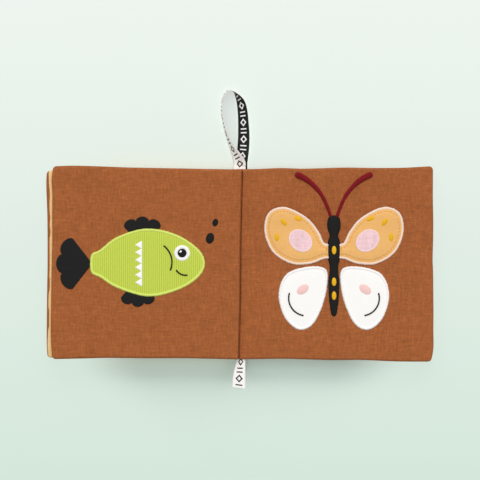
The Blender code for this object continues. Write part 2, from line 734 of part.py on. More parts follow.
def make_upper_wing(word, side, carrier):
    """A loose padded wing, sewn to the page along its inner edge, with its trim."""
    start_x = BUTTERFLY_TO_SPINE + side * WING_HINGE_OFFSET
    outline = wing_outline(
        UPPER_WING_SHARES, side, start_x, UPPER_WING_Y, UPPER_WING_WIDTH, UPPER_WING_HEIGHT
    )
    pad = moved_inwards(outline, WING_BORDER_WIDTH + SOFT_GAP)
    keep_mesh(
        f"upper_wing_{word}",
        raised(pad, BUTTERFLY_BASE_Z, PADDED_TOP_Z, PADDED_TRIM_CROWN, PADDING_STEPS),
        "orange_cloth",
        carrier,
    )
    keep_mesh(
        f"upper_wing_{word}_border",
        raised_ring(
            outline, WING_BORDER_WIDTH, BUTTERFLY_BASE_Z, BUTTERFLY_BASE_Z + BORDER_THICKNESS
        ),
        "pink_satin",
        carrier,
    )
    trim_top = PADDED_TRIM_Z + EMBROIDERY_THICKNESS
    rim = EMBROIDERY_THICKNESS / 4

    def place(shares):
        return (
            start_x + side * shares[0] * UPPER_WING_WIDTH,
            UPPER_WING_Y + shares[1] * UPPER_WING_HEIGHT,
        )

    patch = oval(
        place(UPPER_WING_PATCH_SHARES),
        WING_PATCH_RADIUS_X,
        WING_PATCH_RADIUS_Y,
        side * radians(40),
        OUTLINE_STEPS // 2,
    )
    keep_mesh(
        f"upper_wing_{word}_patch", raised(patch, PADDED_TRIM_Z, trim_top, rim), "pink_cloth", carrier
    )
    for number, (shares, turn) in enumerate(zip(UPPER_WING_SEED_SHARES, UPPER_WING_SEED_TURNS), 1):
        seed = oval(place(shares), SEED_SHORT_RADIUS, SEED_LONG_RADIUS, side * turn)
        keep_mesh(
            f"wing_seed_{word}_{number}",
            raised(seed, PADDED_TRIM_Z, trim_top, rim),
            "mustard_satin",
            carrier,
        )


def make_lower_wing(word, side, carrier):
    """A white wing sewn flat to the page, with its border, an oval and a stitched line."""
    start_x = BUTTERFLY_TO_SPINE + side * (BODY_HALF_WIDTH + SOFT_GAP)
    outline = wing_outline(
        LOWER_WING_SHARES, side, start_x, LOWER_WING_Y, LOWER_WING_WIDTH, LOWER_WING_HEIGHT
    )
    patch = moved_inwards(outline, WING_BORDER_WIDTH + SOFT_GAP)
    patch_top = BUTTERFLY_BASE_Z + PATCH_THICKNESS
    keep_mesh(
        f"lower_wing_{word}",
        raised(patch, BUTTERFLY_BASE_Z, patch_top, PATCH_RIM),
        "white_cloth",
        carrier,
    )
    keep_mesh(
        f"lower_wing_{word}_border",
        raised_ring(
            outline, WING_BORDER_WIDTH, BUTTERFLY_BASE_Z, BUTTERFLY_BASE_Z + BORDER_THICKNESS
        ),
        "white_satin",
        carrier,
    )
    rim = EMBROIDERY_THICKNESS / 4

    def place(shares):
        return (
            start_x + side * shares[0] * LOWER_WING_WIDTH,
            LOWER_WING_Y + shares[1] * LOWER_WING_HEIGHT,
        )

    spot = oval(
        place(LOWER_WING_OVAL_SHARES),
        WING_OVAL_RADIUS_X,
        WING_OVAL_RADIUS_Y,
        side * LOWER_WING_OVAL_TURN,
    )
    keep_mesh(
        f"lower_wing_{word}_oval",
        raised(spot, LOWER_WING_TRIM_Z, LOWER_WING_TRIM_Z + EMBROIDERY_THICKNESS, rim),
        "pink_satin",
        carrier,
    )
    first, last = LOWER_WING_LINE_ENDS
    if side < 0:
        first, last = pi - first, pi - last
    stitched_line(
        f"lower_wing_{word}_line",
        arc(place(LOWER_WING_LINE_SHARES), WING_LINE_RADIUS, first, last),
        LOWER_WING_TRIM_Z,
        "black_satin",
        carrier,
    )


def make_antenna(word, side, carrier):
    """A padded feeler that curves outwards and widens to a club."""
    foot_x = BUTTERFLY_TO_SPINE + side * ANTENNA_FOOT_X_SHARE * BODY_HALF_WIDTH
    foot_y = BODY_BOTTOM_Y + BODY_LENGTH + SOFT_GAP + ANTENNA_HALF_WIDTH * ANTENNA_WIDTH_SHARES[0]
    route = smooth_route(
        [
            (foot_x + side * x * ANTENNA_REACH_X, foot_y + y * ANTENNA_REACH_Y)
            for x, y in ANTENNA_ROUTE_SHARES
        ],
        LINE_STEPS,
    )
    along = np.gradient(route, axis=0)
    along = along / np.linalg.norm(along, axis=1, keepdims=True)
    away = np.stack([along[:, 1], -along[:, 0]], axis=1)
    where = np.linspace(0, 1, LINE_STEPS)
    half = ANTENNA_HALF_WIDTH * np.interp(
        where, np.linspace(0, 1, len(ANTENNA_WIDTH_SHARES)), ANTENNA_WIDTH_SHARES
    )
    first_angle = np.linspace(-pi / 2, pi / 2, CORNER_STEPS + 2)[1:-1, None]
    cap = route[-1] + half[-1] * (
        np.cos(first_angle) * along[-1] - np.sin(first_angle) * away[-1]
    )
    outline = np.vstack([route + away * half[:, None], cap, (route - away * half[:, None])[::-1]])
    keep_mesh(
        f"antenna_{word}",
        raised(outline, BUTTERFLY_BASE_Z, PADDED_TOP_Z, PADDED_TRIM_CROWN * 3 / 4, PADDING_STEPS),
        "red_cloth",
        carrier,
    )


def make_butterfly_body(carrier):
    """The long padded body in the middle, with three mustard seeds on it."""
    right = [
        (BUTTERFLY_TO_SPINE + x * BODY_HALF_WIDTH, BODY_BOTTOM_Y + y * BODY_LENGTH)
        for x, y in BODY_HALF_OUTLINE_SHARES
    ]
    left = [(2 * BUTTERFLY_TO_SPINE - x, y) for x, y in right[::-1]]
    keep_mesh(
        "butterfly_body",
        raised(
            smooth_outline(right + left),
            BUTTERFLY_BASE_Z,
            PADDED_TOP_Z,
            PADDED_TRIM_CROWN,
            PADDING_STEPS,
        ),
        "black_satin",
        carrier,
    )
    top = PADDED_TRIM_Z + EMBROIDERY_THICKNESS
    rim = EMBROIDERY_THICKNESS / 4
    for number, share in enumerate(BODY_SEED_SHARES, 1):
        place = (BUTTERFLY_TO_SPINE, BODY_BOTTOM_Y + share * BODY_LENGTH)
        seed = oval(place, SEED_SHORT_RADIUS, SEED_LONG_RADIUS)
        keep_mesh(
            f"body_seed_{number}", raised(seed, PADDED_TRIM_Z, top, rim), "mustard_satin", carrier
        )


def main():
    clear_scene()
    leaf_pivot = (0, 0, HINGE_HEIGHT)
    base = pivot("book_base", (0, 0, 0))
    front = pivot("front_cover_hinge", leaf_pivot)
    middle = pivot("middle_leaf_hinge", leaf_pivot)
    loop = pivot("hanging_loop_hinge", (0, TAPE_HINGE_Y, TAPE_HINGE_Z))
    tag = pivot("tag_hinge", (0, -TAPE_HINGE_Y, TAPE_HINGE_Z))
    make_leaf(
        "front_cover",
        -1,
        COVER_WIDTH,
        COVER_MIDDLE_Z,
        (("outer_cloth", "brown_cloth"), ("inner_cloth", "tan_cloth")),
        front,
    )
    make_leaf(
        "middle_leaf",
        -1,
        MIDDLE_LEAF_WIDTH,
        MIDDLE_LEAF_MIDDLE_Z,
        (("lower_cloth", "tan_cloth"), ("upper_cloth", "brown_cloth")),
        middle,
    )
    make_leaf(
        "back_cover",
        1,
        COVER_WIDTH,
        COVER_MIDDLE_Z,
        (("outer_cloth", "brown_cloth"), ("inner_cloth", "brown_cloth")),
        base,
    )
    make_spine(base)
    make_hanging_loop(loop)
    make_tag(tag)
    make_fish(middle)
    for word, side in (("left", -1), ("right", 1)):
        wing_place = (BUTTERFLY_TO_SPINE + side * WING_HINGE_OFFSET, 0, BUTTERFLY_BASE_Z)
        make_upper_wing(word, side, pivot(f"upper_wing_{word}_hinge", wing_place))
        make_lower_wing(word, side, base)
        make_antenna(word, side, base)
    make_butterfly_body(base)


main()
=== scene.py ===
# %% [markdown]
# # A crinkle cloth book
# This lesson dresses the plain solids of a soft book for babies. Each cloth, thread and tape is worked
# out as a surface with numpy, and gets a finish made of shader nodes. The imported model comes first,
# because every piece is placed by it and moves with its bodies.

import json
from math import cos, pi, radians, sin

import bmesh
import bpy
import numpy as np
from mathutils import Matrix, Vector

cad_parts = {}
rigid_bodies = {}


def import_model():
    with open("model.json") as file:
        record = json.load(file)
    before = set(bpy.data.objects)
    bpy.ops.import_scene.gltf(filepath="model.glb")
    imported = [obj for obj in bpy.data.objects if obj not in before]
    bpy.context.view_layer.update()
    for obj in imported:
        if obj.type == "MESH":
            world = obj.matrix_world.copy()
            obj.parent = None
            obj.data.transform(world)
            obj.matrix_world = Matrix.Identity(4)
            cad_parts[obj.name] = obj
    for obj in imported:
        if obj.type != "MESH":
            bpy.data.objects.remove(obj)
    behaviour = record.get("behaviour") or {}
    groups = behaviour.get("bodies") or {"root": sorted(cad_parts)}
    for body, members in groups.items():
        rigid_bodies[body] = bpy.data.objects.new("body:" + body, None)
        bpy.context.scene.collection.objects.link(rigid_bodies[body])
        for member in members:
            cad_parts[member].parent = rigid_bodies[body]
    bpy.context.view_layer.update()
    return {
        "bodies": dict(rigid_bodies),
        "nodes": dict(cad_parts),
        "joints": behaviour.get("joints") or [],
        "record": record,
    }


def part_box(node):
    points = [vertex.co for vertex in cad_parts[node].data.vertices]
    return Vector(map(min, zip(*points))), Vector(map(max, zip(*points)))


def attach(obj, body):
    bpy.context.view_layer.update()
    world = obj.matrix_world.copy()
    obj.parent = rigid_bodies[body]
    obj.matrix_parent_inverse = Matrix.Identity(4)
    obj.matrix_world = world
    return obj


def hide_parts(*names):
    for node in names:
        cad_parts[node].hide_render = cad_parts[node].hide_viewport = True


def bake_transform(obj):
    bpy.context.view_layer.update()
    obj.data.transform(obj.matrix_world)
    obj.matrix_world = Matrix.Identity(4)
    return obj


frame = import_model()

# %% [markdown]
# ## Sizes
# The solids say how large the book is. A page is a square pad of 16 cm, the left side is two pads high
# and the right side one. Everything else is set against these numbers.

# %% Sizes read from the solids
MM = 0.001
LEFT_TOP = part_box("middle_leaf_upper_cloth")[1].z
RIGHT_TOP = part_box("back_cover_inner_cloth")[1].z
LEAF_HALF = RIGHT_TOP / 2
MIDDLE_LEAF_Z = LEFT_TOP - LEAF_HALF
HALF_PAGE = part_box("back_cover_inner_cloth")[1].y
WING_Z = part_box("upper_wing_left")[0].z
print(f"Left page at {LEFT_TOP / MM:.2f} mm, right page at {RIGHT_TOP / MM:.2f} mm")

# %% [markdown]
# ## The camera
# The photo looks straight down at the open book from about a metre. A 100 mm lens keeps the edges of
# the pages almost free of perspective, so their sides hardly show.

# %% The camera over the spread
CAMERA_HEIGHT = 1.113
CAMERA_Y = 0.0195
LENS = 100
SENSOR = 36
view = bpy.data.cameras.new("camera")
view.lens = LENS
view.sensor_width = SENSOR
camera = bpy.data.objects.new("camera", view)
camera.location = (0, CAMERA_Y, CAMERA_HEIGHT)
bpy.context.scene.collection.objects.link(camera)
bpy.context.scene.camera = camera
picture_width = SENSOR / LENS * (CAMERA_HEIGHT - RIGHT_TOP)
print(f"The picture is {picture_width / MM:.0f} mm wide at the right page")

# %% [markdown]
# ## From arrays to meshes
# A surface here is a grid of points, rows by columns. Its faces are the quads between neighbours, and
# a closed form repeats its first row or column at the end. Doubles are merged afterwards, which welds
# seams and poles, and then the normals are turned outwards. Each corner keeps its own UV, so a seam
# doesn't squeeze the pattern.

# %% Grids, and the walls between two of them
def grid(points, uv=None):
    """A grid of points as (points, quads, UVs): quad (i, j) joins points (i, j) to (i + 1, j + 1)."""
    rows, columns = points.shape[:2]
    number = np.arange(rows * columns).reshape(rows, columns)
    quads = np.stack([number[:-1, :-1], number[1:, :-1], number[1:, 1:], number[:-1, 1:]], axis=-1)
    flat_uv = np.zeros((rows * columns, 2)) if uv is None else np.reshape(uv, (-1, 2))
    return np.reshape(points, (-1, 3)), quads.reshape(-1, 4), flat_uv


def joined(parts):
    """Several surfaces as one: all their points, and each one's quads moved on by the points before."""
    starts = np.cumsum([0] + [len(part[0]) for part in parts[:-1]])
    return (
        np.vstack([part[0] for part in parts]),
        np.vstack([part[1] + start for part, start in zip(parts, starts)]),
        np.vstack([part[2] for part in parts]),
    )


def end_walls(upper, lower):
    """The walls between the first rows and between the last rows of two grids."""
    return [grid(np.stack([upper[end], lower[end]])) for end in (0, -1)]


def side_walls(upper, lower):
    """The walls between the first columns and between the last columns of two grids."""
    return [grid(np.stack([upper[:, end], lower[:, end]])) for end in (0, -1)]


def shell(outer, inner):
    """A closed cloth from its outer and inner grids, joined along all four edges."""
    return joined([grid(outer), grid(inner)] + end_walls(outer, inner) + side_walls(outer, inner))


# %% Pieces that ride on a body
WELD = 1e-6


def weld(mesh):
    """Merges a mesh's doubles and turns its normals outwards."""
    welded = bmesh.new()
    welded.from_mesh(mesh)
    bmesh.ops.remove_doubles(welded, verts=welded.verts, dist=WELD)
    bmesh.ops.recalc_face_normals(welded, faces=welded.faces)
    welded.to_mesh(mesh)
    welded.free()


def make_piece(name, surface, finish, body=None, replaced=()):
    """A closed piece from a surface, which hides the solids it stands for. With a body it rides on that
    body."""
    points, quads, uv = surface
    mesh = bpy.data.meshes.new(name)
    mesh.from_pydata(points.tolist(), [], quads.tolist())
    layer = mesh.uv_layers.new(name="UVMap")
    layer.data.foreach_set("uv", uv[quads.ravel()].astype(np.float32).ravel())
    mesh.materials.append(finish)
    weld(mesh)
    mesh.shade_smooth()
    piece = bpy.data.objects.new(name, mesh)
    bpy.context.scene.collection.objects.link(piece)
    if body:
        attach(piece, body)
    if replaced:
        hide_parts(*replaced)
    return piece


# %% [markdown]
# ## Curves
# Outlines are given by a few points as shares of a size. A cubic through neighbouring points makes
# them smooth, and a walk at even steps along that curve puts threads at one distance from each other.

# %% Smooth outlines and even steps
def cubic(before, here, after, later, part):
    """The cubic through here and after, whose tangents follow the neighbours before and later."""
    return (
        here
        + 0.5 * part * (after - before)
        + part**2 * (before - 2.5 * here + 2 * after - 0.5 * later)
        + part**3 * (1.5 * (here - after) + 0.5 * (later - before))
    )


def smooth_outline(points, steps=400):
    """A closed cubic curve through the points."""
    points = np.array(points, float)
    at = np.arange(steps) * len(points) / steps
    index = at.astype(int)
    near = [points[(index + shift) % len(points)] for shift in (-1, 0, 1, 2)]
    return cubic(*near, (at - index)[:, None])


def smooth_route(points, steps=200):
    """An open cubic curve through the points, with its ends carried on straight."""
    points = np.array(points, float)
    longer = np.vstack([2 * points[0] - points[1], points, 2 * points[-1] - points[-2]])
    at = np.linspace(0, len(points) - 1, steps)
    index = np.minimum(at.astype(int), len(points) - 2)
    near = [longer[index + shift] for shift in (0, 1, 2, 3)]
    return cubic(*near, (at - index)[:, None])


def lengths_along(path):
    """The length walked from a path's start to each of its points."""
    return np.concatenate([[0], np.cumsum(np.linalg.norm(np.diff(path, axis=0), axis=1))])


def even_steps(path, step, closed):
    """The path at even steps, and the length walked to each. A closed one ends where it starts."""
    if closed:
        path = np.vstack([path, path[:1]])
    walked = lengths_along(path)
    at = np.linspace(0, walked[-1], max(int(round(walked[-1] / step)), 3) + 1)
    return np.stack([np.interp(at, walked, axis) for axis in path.T], axis=1), at


# %% Directions, insets and ovals
def directions(path, closed):
    """The unit direction along a path at each point."""
    if closed:
        inner = path[:-1]
        along = np.roll(inner, -1, axis=0) - np.roll(inner, 1, axis=0)
        along = np.vstack([along, along[:1]])
    else:
        along = np.gradient(path, axis=0)
    return along / np.maximum(np.linalg.norm(along, axis=1, keepdims=True), 1e-12)


def sideways(along):
    """The direction to the left of each flat direction."""
    return np.stack([-along[:, 1], along[:, 0]], axis=1)


def moved_inwards(outline, distance):
    """A closed counter-clockwise outline drawn in by a distance along its normals."""
    along = np.roll(outline, -1, axis=0) - np.roll(outline, 1, axis=0)
    along = along / np.linalg.norm(along, axis=1, keepdims=True)
    return outline + distance * sideways(along)


def turned(points, angle):
    """Flat points turned about the origin by an angle."""
    x, y = points[..., 0], points[..., 1]
    return np.stack([x * cos(angle) - y * sin(angle), y * cos(angle) + x * sin(angle)], axis=-1)


def oval(centre, radius_x, radius_y, turn=0, steps=96):
    """An ellipse about a centre, turned by an angle."""
    angle = np.arange(steps) * 2 * pi / steps
    points = np.stack([radius_x * np.cos(angle), radius_y * np.sin(angle)], axis=1)
    return np.array(centre) + turned(points, turn)


# %% [markdown]
# ## Shader maths
# A finish is easier to read as an expression than as a list of nodes. The class Wire holds an output
# socket, and Python's operators on it add Math nodes. Everything else comes from one method, node(),
# which sets a node's settings first and then its inputs. Constants go straight on the shader.

# %% Wires and finishes
class Wire:
    """An output socket, on which the usual operators add Math nodes."""

    def __init__(self, finish, socket):
        self.finish, self.socket = finish, socket

    def maths(self, operation, *values):
        """A Math node of that operation on these values."""
        return self.finish.node("Math", {"operation": operation}, dict(enumerate(values)))

    def __add__(self, other): return self.maths("ADD", self, other)
    def __sub__(self, other): return self.maths("SUBTRACT", self, other)
    def __mul__(self, other): return self.maths("MULTIPLY", self, other)
    def __truediv__(self, other): return self.maths("DIVIDE", self, other)
    def __mod__(self, other): return self.maths("FLOORED_MODULO", self, other)
    def __pow__(self, other): return self.maths("POWER", self, other)
    def __lt__(self, other): return self.maths("LESS_THAN", self, other)
    def __gt__(self, other): return self.maths("GREATER_THAN", self, other)
    def __rsub__(self, other): return self.maths("SUBTRACT", other, self)
    def __abs__(self): return self.maths("ABSOLUTE", self)
    __radd__ = __add__
    __rmul__ = __mul__

    def most(self, other): return self.maths("MAXIMUM", self, other)

    def ridges(self, pitch):
        """|sin(pi u / pitch)|: 0 in a groove and 1 on the ridge between two grooves."""
        return abs(self.waves(pitch))

    def waves(self, pitch):
        """sin(pi u / pitch)."""
        return self.maths("SINE", self * (pi / pitch))


def paint(red, green, blue):
    """A colour as a picture stores it, 0 to 255, turned into the light values that a shader takes."""
    share = np.array([red, green, blue]) / 255
    linear = np.where(share <= 0.04045, share / 12.92, ((share + 0.055) / 1.055) ** 2.4)
    return (*linear.tolist(), 1.0)


class Finish:
    """A material with one Principled shader, whose varying sockets are fed by wires."""

    def __init__(self, name, **constants):
        self.material = bpy.data.materials.new(name)
        self.material.use_nodes = True
        self.tree = self.material.node_tree
        self.shader = self.tree.nodes["Principled BSDF"]
        for socket, value in constants.items():
            self.feed(self.shader.inputs[socket.replace("_", " ")], value)

    def feed(self, socket, value):
        """Links a wire to a socket, or sets a plain value on it."""
        if isinstance(value, Wire):
            self.tree.links.new(value.socket, socket)
        else:
            socket.default_value = value[:3] if socket.type == "VECTOR" else value

    def node(self, kind, settings=(), inputs=(), output=0):
        """A node of a kind, with its settings, then its inputs by name or number, and one output."""
        made = self.tree.nodes.new("ShaderNode" + kind)
        for setting, value in dict(settings).items():
            setattr(made, setting, value)
        for socket, value in dict(inputs).items():
            self.feed(made.inputs[socket], value)
        return Wire(self, made.outputs[output])

    def axes(self, point, count):
        """The first numbers of a point, each as a wire."""
        return [self.node("SeparateXYZ", inputs={0: point}, output=axis) for axis in range(count)]

    def place(self):
        """The point on the book, as X, Y and Z."""
        return self.axes(self.node("TexCoord", output="Object"), 3)

    def pattern(self):
        """The point on the piece's own UV: metres along and metres across."""
        return self.axes(self.node("UVMap", {"uv_map": "UVMap"}), 2)

    def noise(self, x, y, z, scale, detail=2.0):
        """Smooth noise from about 0 to 1 at a point."""
        point = self.node("CombineXYZ", inputs={0: x, 1: y, 2: z})
        return self.node("TexNoise", inputs={"Vector": point, "Scale": scale, "Detail": detail})

    def blend(self, share, first, second):
        """A colour between two, first at share 0 and second at share 1."""
        settings = {"data_type": "RGBA", "clamp_factor": True}
        return self.node("Mix", settings, {0: share, 6: first, 7: second}, 2)

    def shade(self, colour, factor):
        """A colour times a factor that varies, as a Vector Math node."""
        return self.node("VectorMath", {"operation": "SCALE"}, {0: colour, "Scale": factor})

    def relief(self, height, depth):
        """Bumps of a depth in metres where height goes from 0 to 1."""
        inputs = {"Height": height, "Distance": depth, "Strength": 1.0}
        self.feed(self.shader.inputs["Normal"], self.node("Bump", inputs=inputs, output="Normal"))

    def colour(self, colour):
        self.feed(self.shader.inputs["Base Color"], colour)


# %% [markdown]
# ## Woven cloth
# The pages are a slubby cotton and linen cloth. Warp threads run along Y and weft threads along X, and
# they are not one colour: the one is redder and the other more yellow, and each is thicker and paler
# in places. Two stretched noises stand for those slubs, one along each thread direction, and a checker
# of sines says which thread lies on top.

# %% The woven finishes
THREAD_PITCH = 0.62 * MM
FINE_PITCH = 0.4 * MM
SLUB_LONG = 120
SLUB_SHORT = 800


def woven(name, warp, weft, slub=0.16, pitch=THREAD_PITCH, depth=0.09 * MM, blotch=0.10):
    """Plain weave. On top is the warp where sin(pi x/p) sin(pi y/p) is positive, else the weft."""
    finish = Finish(name, Roughness=0.95, Specular_IOR_Level=0.15, Sheen_Weight=0.03)
    x, y, z = finish.place()
    across = x.waves(pitch) * (y + z).waves(pitch)
    on_top = across * 2.2 + 0.5
    warp_slub = finish.noise(x * SLUB_SHORT, y * SLUB_LONG, z * SLUB_SHORT, 1.0)
    weft_slub = finish.noise(x * SLUB_LONG, y * SLUB_SHORT, z * SLUB_SHORT + 7, 1.0)
    patches = finish.noise(x, y, z, 55.0, 3.0)
    clouds = finish.noise(x, y, z + 3, 330.0)
    tone = finish.noise(x, y, z + 9, 520.0)
    mix = finish.blend(on_top + (tone - 0.5) * 2.4, weft, warp)
    light = 1 + (warp_slub + weft_slub - 1.0) * slub * 2 + (patches + clouds - 1.0) * blotch
    # The factor 0.95 + 0.1 |across| is painted shade: the colour is darker where the threads dip
    # between each other.
    finish.colour(finish.shade(mix, light * (0.95 + 0.1 * abs(across))))
    finish.relief(abs(across) + (warp_slub + weft_slub) * 0.6, depth)
    return finish.material


BROWN = woven("brown_cloth", paint(182, 104, 62), paint(146, 87, 41), 0.26, blotch=0.18)
TAN = woven("tan_cloth", paint(238, 202, 144), paint(233, 198, 144), 0.08)
ORANGE = woven("orange_cloth", paint(244, 187, 113), paint(239, 185, 115), 0.05, FINE_PITCH, 0.04 * MM)
WHITE = woven(
    "white_cloth", paint(254, 252, 248), paint(253, 251, 247), 0.02, FINE_PITCH, 0.02 * MM, 0.02
)
RED = woven("red_cloth", paint(142, 26, 36), paint(120, 20, 29), 0.14, FINE_PITCH)
PINK = woven("pink_cloth", paint(252, 220, 222), paint(238, 194, 200), 0.16, 0.9 * MM, blotch=0.16)

# %% [markdown]
# ## Thread, felt, rib and tape
# Satin stitch is a row of shiny threads side by side, so its finish reads the piece's UV, whose first
# number is the way along the row. Felt is matted fibre with no direction. The ribbed cloth has a rib
# every 1.75 mm. The tape is woven in two colours, with diamonds and bars for an ornament.

# %% Thread, felt and rib
STITCH_PITCH = 1.0 * MM
RIB_PITCH = 1.75 * MM


def satin(name, colour, roughness=0.5):
    """Threads side by side: bumps of |sin(pi u/p)|^0.6, with painted shade in the grooves between them,
    and flecked by fibres.
    """
    finish = Finish(name, Roughness=roughness, Specular_IOR_Level=0.25, Sheen_Weight=0.02)
    along, across = finish.pattern()
    ridge = along.ridges(STITCH_PITCH) ** 0.6
    fibre = finish.noise(along * 2600, across * 500, 0.0, 1.0)
    finish.colour(finish.shade(colour, 0.88 + 0.13 * ridge + (fibre - 0.5) * 0.16))
    finish.relief(ridge + fibre * 0.4, 0.1 * MM)
    return finish.material


def felt(name, colour):
    """Matted fibre: fine noise over coarse noise, in colour and in relief."""
    finish = Finish(name, Roughness=0.97, Specular_IOR_Level=0.15, Sheen_Weight=0.03)
    x, y, z = finish.place()
    fine = finish.noise(x, y, z, 2400.0, 3.0)
    coarse = finish.noise(x, y, z, 420.0)
    finish.colour(finish.shade(colour, 0.6 + 0.5 * fine + 0.3 * coarse))
    finish.relief(fine + coarse, 0.15 * MM)
    return finish.material


def ribbed(name, colour, groove):
    """Ribs along Y: the height is |sin(pi x/p)|. The grooves between them are painted darker as shade,
    and so are the dips between the small stitches.
    """
    finish = Finish(name, Roughness=0.9, Specular_IOR_Level=0.15, Sheen_Weight=0.03)
    x, y, z = finish.place()
    rib = x.ridges(RIB_PITCH)
    stitches = y.ridges(0.5 * MM)
    flecks = finish.noise(x * 1500, y * 400, z * 400, 1.0)
    light = 0.93 + (flecks - 0.5) * 0.2 + 0.06 * stitches
    finish.colour(finish.shade(finish.blend(rib, groove, colour), light))
    finish.relief(rib + stitches * 0.25, 0.12 * MM)
    return finish.material


# The second colour is painted shade for the grooves between the ribs.
LIME = ribbed("lime_rib", paint(208, 222, 92), paint(178, 197, 64))
GREEN_THREAD = satin("green_satin", paint(222, 237, 116))
BLACK_FELT = felt("black_felt", paint(34, 33, 33))
BLACK_THREAD = satin("black_satin", paint(22, 21, 20), 0.8)
WHITE_THREAD = satin("white_satin", paint(255, 254, 252))
PALE_THREAD = satin("pink_satin", paint(250, 226, 208))
MUSTARD_THREAD = satin("mustard_satin", paint(240, 182, 16))
ORANGE_THREAD = satin("orange_thread", paint(226, 160, 88))
ROSE_THREAD = satin("rose_thread", paint(250, 222, 226))
BLUSH_THREAD = satin("blush_thread", paint(250, 208, 202))

# %% The two-sided tape
TAPE_REPEAT = 14 * MM
TAPE_BACK = 100 * MM


def tape(name, pale, dark):
    """Ribs across the tape, and a repeat of an open diamond between two bars. The front is pale with a
    dark figure. The back, whose across is over 90 mm, is dark with a pale figure."""
    finish = Finish(name, Roughness=0.6, Specular_IOR_Level=0.3, Sheen_Weight=0.02)
    along, across = finish.pattern()
    back = across > 0.9 * TAPE_BACK
    across = across - back * TAPE_BACK
    ground = finish.blend(back, pale, dark)
    figure = finish.blend(back, dark, pale)
    at = along % TAPE_REPEAT - TAPE_REPEAT / 2
    diamond = abs(at) / (3.4 * MM) + abs(across) / (2.9 * MM)
    ring = (diamond < 1.0) * (diamond > 0.52)
    bars = (abs(abs(at) - 5.4 * MM) < 0.55 * MM) * (abs(across) < 2.6 * MM)
    drawn = ring.most(bars)
    rib = along.ridges(0.42 * MM)
    yarn = finish.noise(along * 2000, across * 2000, 0.0, 1.0)
    # The 0.05 rib term is painted shade, darker in the dips between the ribs; the yarn noise is the
    # tape's own tone.
    light = 0.96 + 0.05 * rib + (yarn - 0.5) * 0.08
    finish.colour(finish.shade(finish.blend(drawn, ground, figure), light))
    finish.relief(rib + drawn * 0.4, 0.06 * MM)
    return finish.material


TAPE = tape("woven_tape", paint(255, 252, 249), paint(17, 16, 18))
print("Finishes:", len(bpy.data.materials))

# %% [markdown]
# ## The three leaves
# A leaf is two cloths sewn face to face, turned right side out and filled with a thin wadding. Its
# faces stay flat, because the leaves lie on each other, and its edges roll over to the seam. The
# edges are not quite straight, so each of the four is a curve through a few measured points.

# %% The edges of the leaves
CREASE = ((-1, -1.2), (-0.3, 0.0), (0.3, 0.35), (0.6, 0.9), (1, 1.6))
CREASE_HALF = 0.3 * MM
LEAVES = {
    "middle_leaf": dict(
        side=-1, middle=MIDDLE_LEAF_Z, wrap=0.0, seed=3, roll=((-1, 2.3), (1, 2.3)),
        free=(
            (-1, -155.8), (-0.85, -156.6), (-0.7, -156.8), (-0.4, -156.5), (-0.18, -156.2),
            (0.05, -155.9), (0.25, -155.5), (0.5, -155.6), (0.75, -155.5), (0.87, -156.1), (1, -155.2),
        ),
        top=((0, 78.0), (0.15, 78.3), (0.4, 79.0), (0.6, 79.6), (0.75, 80.5), (0.9, 81.1), (1, 80.7)),
        bottom=(
            (0, -79.4), (0.15, -78.9), (0.3, -78.4), (0.5, -78.5), (0.7, -78.2), (0.85, -78.7),
            (1, -79.2),
        ),
    ),
    "front_cover": dict(
        side=-1, middle=LEAF_HALF, wrap=radians(82), seed=5,
        roll=(
            (-1, 0.5), (-0.86, 1.2), (-0.75, 1.7), (-0.6, 1.95), (-0.385, 1.95), (-0.17, 2.3),
            (0.25, 2.45), (0.62, 2.85), (0.78, 3.5), (0.88, 3.1), (1, 2.3),
        ),
        free=(
            (-1, -160.3), (-0.85, -160.9), (-0.5, -160.8), (-0.2, -160.5), (0, -160.25), (0.5, -160.4),
            (0.85, -161.3), (1, -161.0),
        ),
        top=((0, 78.4), (0.3, 78.6), (0.6, 78.7), (0.85, 78.4), (0.965, 78.0), (1, 77.2)),
        bottom=((0, -79.0), (0.3, -78.6), (0.6, -78.0), (0.85, -78.2), (1, -78.6)),
    ),
    "back_cover": dict(
        side=1, middle=LEAF_HALF, wrap=0.0, seed=8, roll=((-1, 2.3), (1, 2.3)),
        free=(
            (-1, 159.6), (-0.88, 161.1), (-0.7, 161.0), (-0.5, 161.1), (-0.1, 160.8), (0.05, 160.4),
            (0.3, 160.9), (0.5, 160.9), (0.7, 160.6), (1, 160.7),
        ),
        top=(
            (0, 78.5), (0.07, 78.6), (0.2, 79.4), (0.31, 78.9), (0.42, 79.3), (0.55, 79.8), (0.7, 79.5),
            (0.85, 79.7), (0.93, 80.3), (1, 80.9),
        ),
        bottom=(
            (0, -79.8), (0.1, -79.6), (0.25, -79.4), (0.45, -80.4), (0.55, -80.4), (0.65, -80.4),
            (0.8, -81.5), (0.9, -81.8), (1, -81.8),
        ),
    ),
}


def edge_curve(points, at):
    """A cubic through (place, millimetres) pairs, read at places, in metres."""
    line = smooth_route(points, 400)
    return np.interp(at, line[:, 0], line[:, 1]) * MM


# %% [markdown]
# ## Puckers from a cloth simulation
# When a sewn pad fills, its seam is shorter than the cloth beside it, and small puckers run in from
# the edge. A coarse pad is blown up with Blender's Cloth to find them. Only the puckers are kept: the
# simulated height less its own smooth form. They go onto the fine surface as shallow dents.

# %% Blowing up a coarse pad
SIM_CELLS = 56
SIM_FRAMES = 20
SIM_CAP = 9 * MM
SIM_SIZE = 160 * MM
SIM_OPENING = 1.2 * MM
SIM_ROUGHNESS = 0.12 * MM
SIM_PRESSURE = 4
SEAM_BAND = 5 * MM
SEAM_SHRINK = 0.05
FULL_PUCKER = 0.25 * MM


def smoothed(field, passes):
    """The field after passes of a three-point average along both directions, its rim kept."""
    field = np.pad(field, 1, mode="reflect", reflect_type="odd")
    for _ in range(passes):
        field[1:-1] = (field[:-2] + 2 * field[1:-1] + field[2:]) / 4
        field[:, 1:-1] = (field[:, :-2] + 2 * field[:, 1:-1] + field[:, 2:]) / 4
    return field[1:-1, 1:-1]


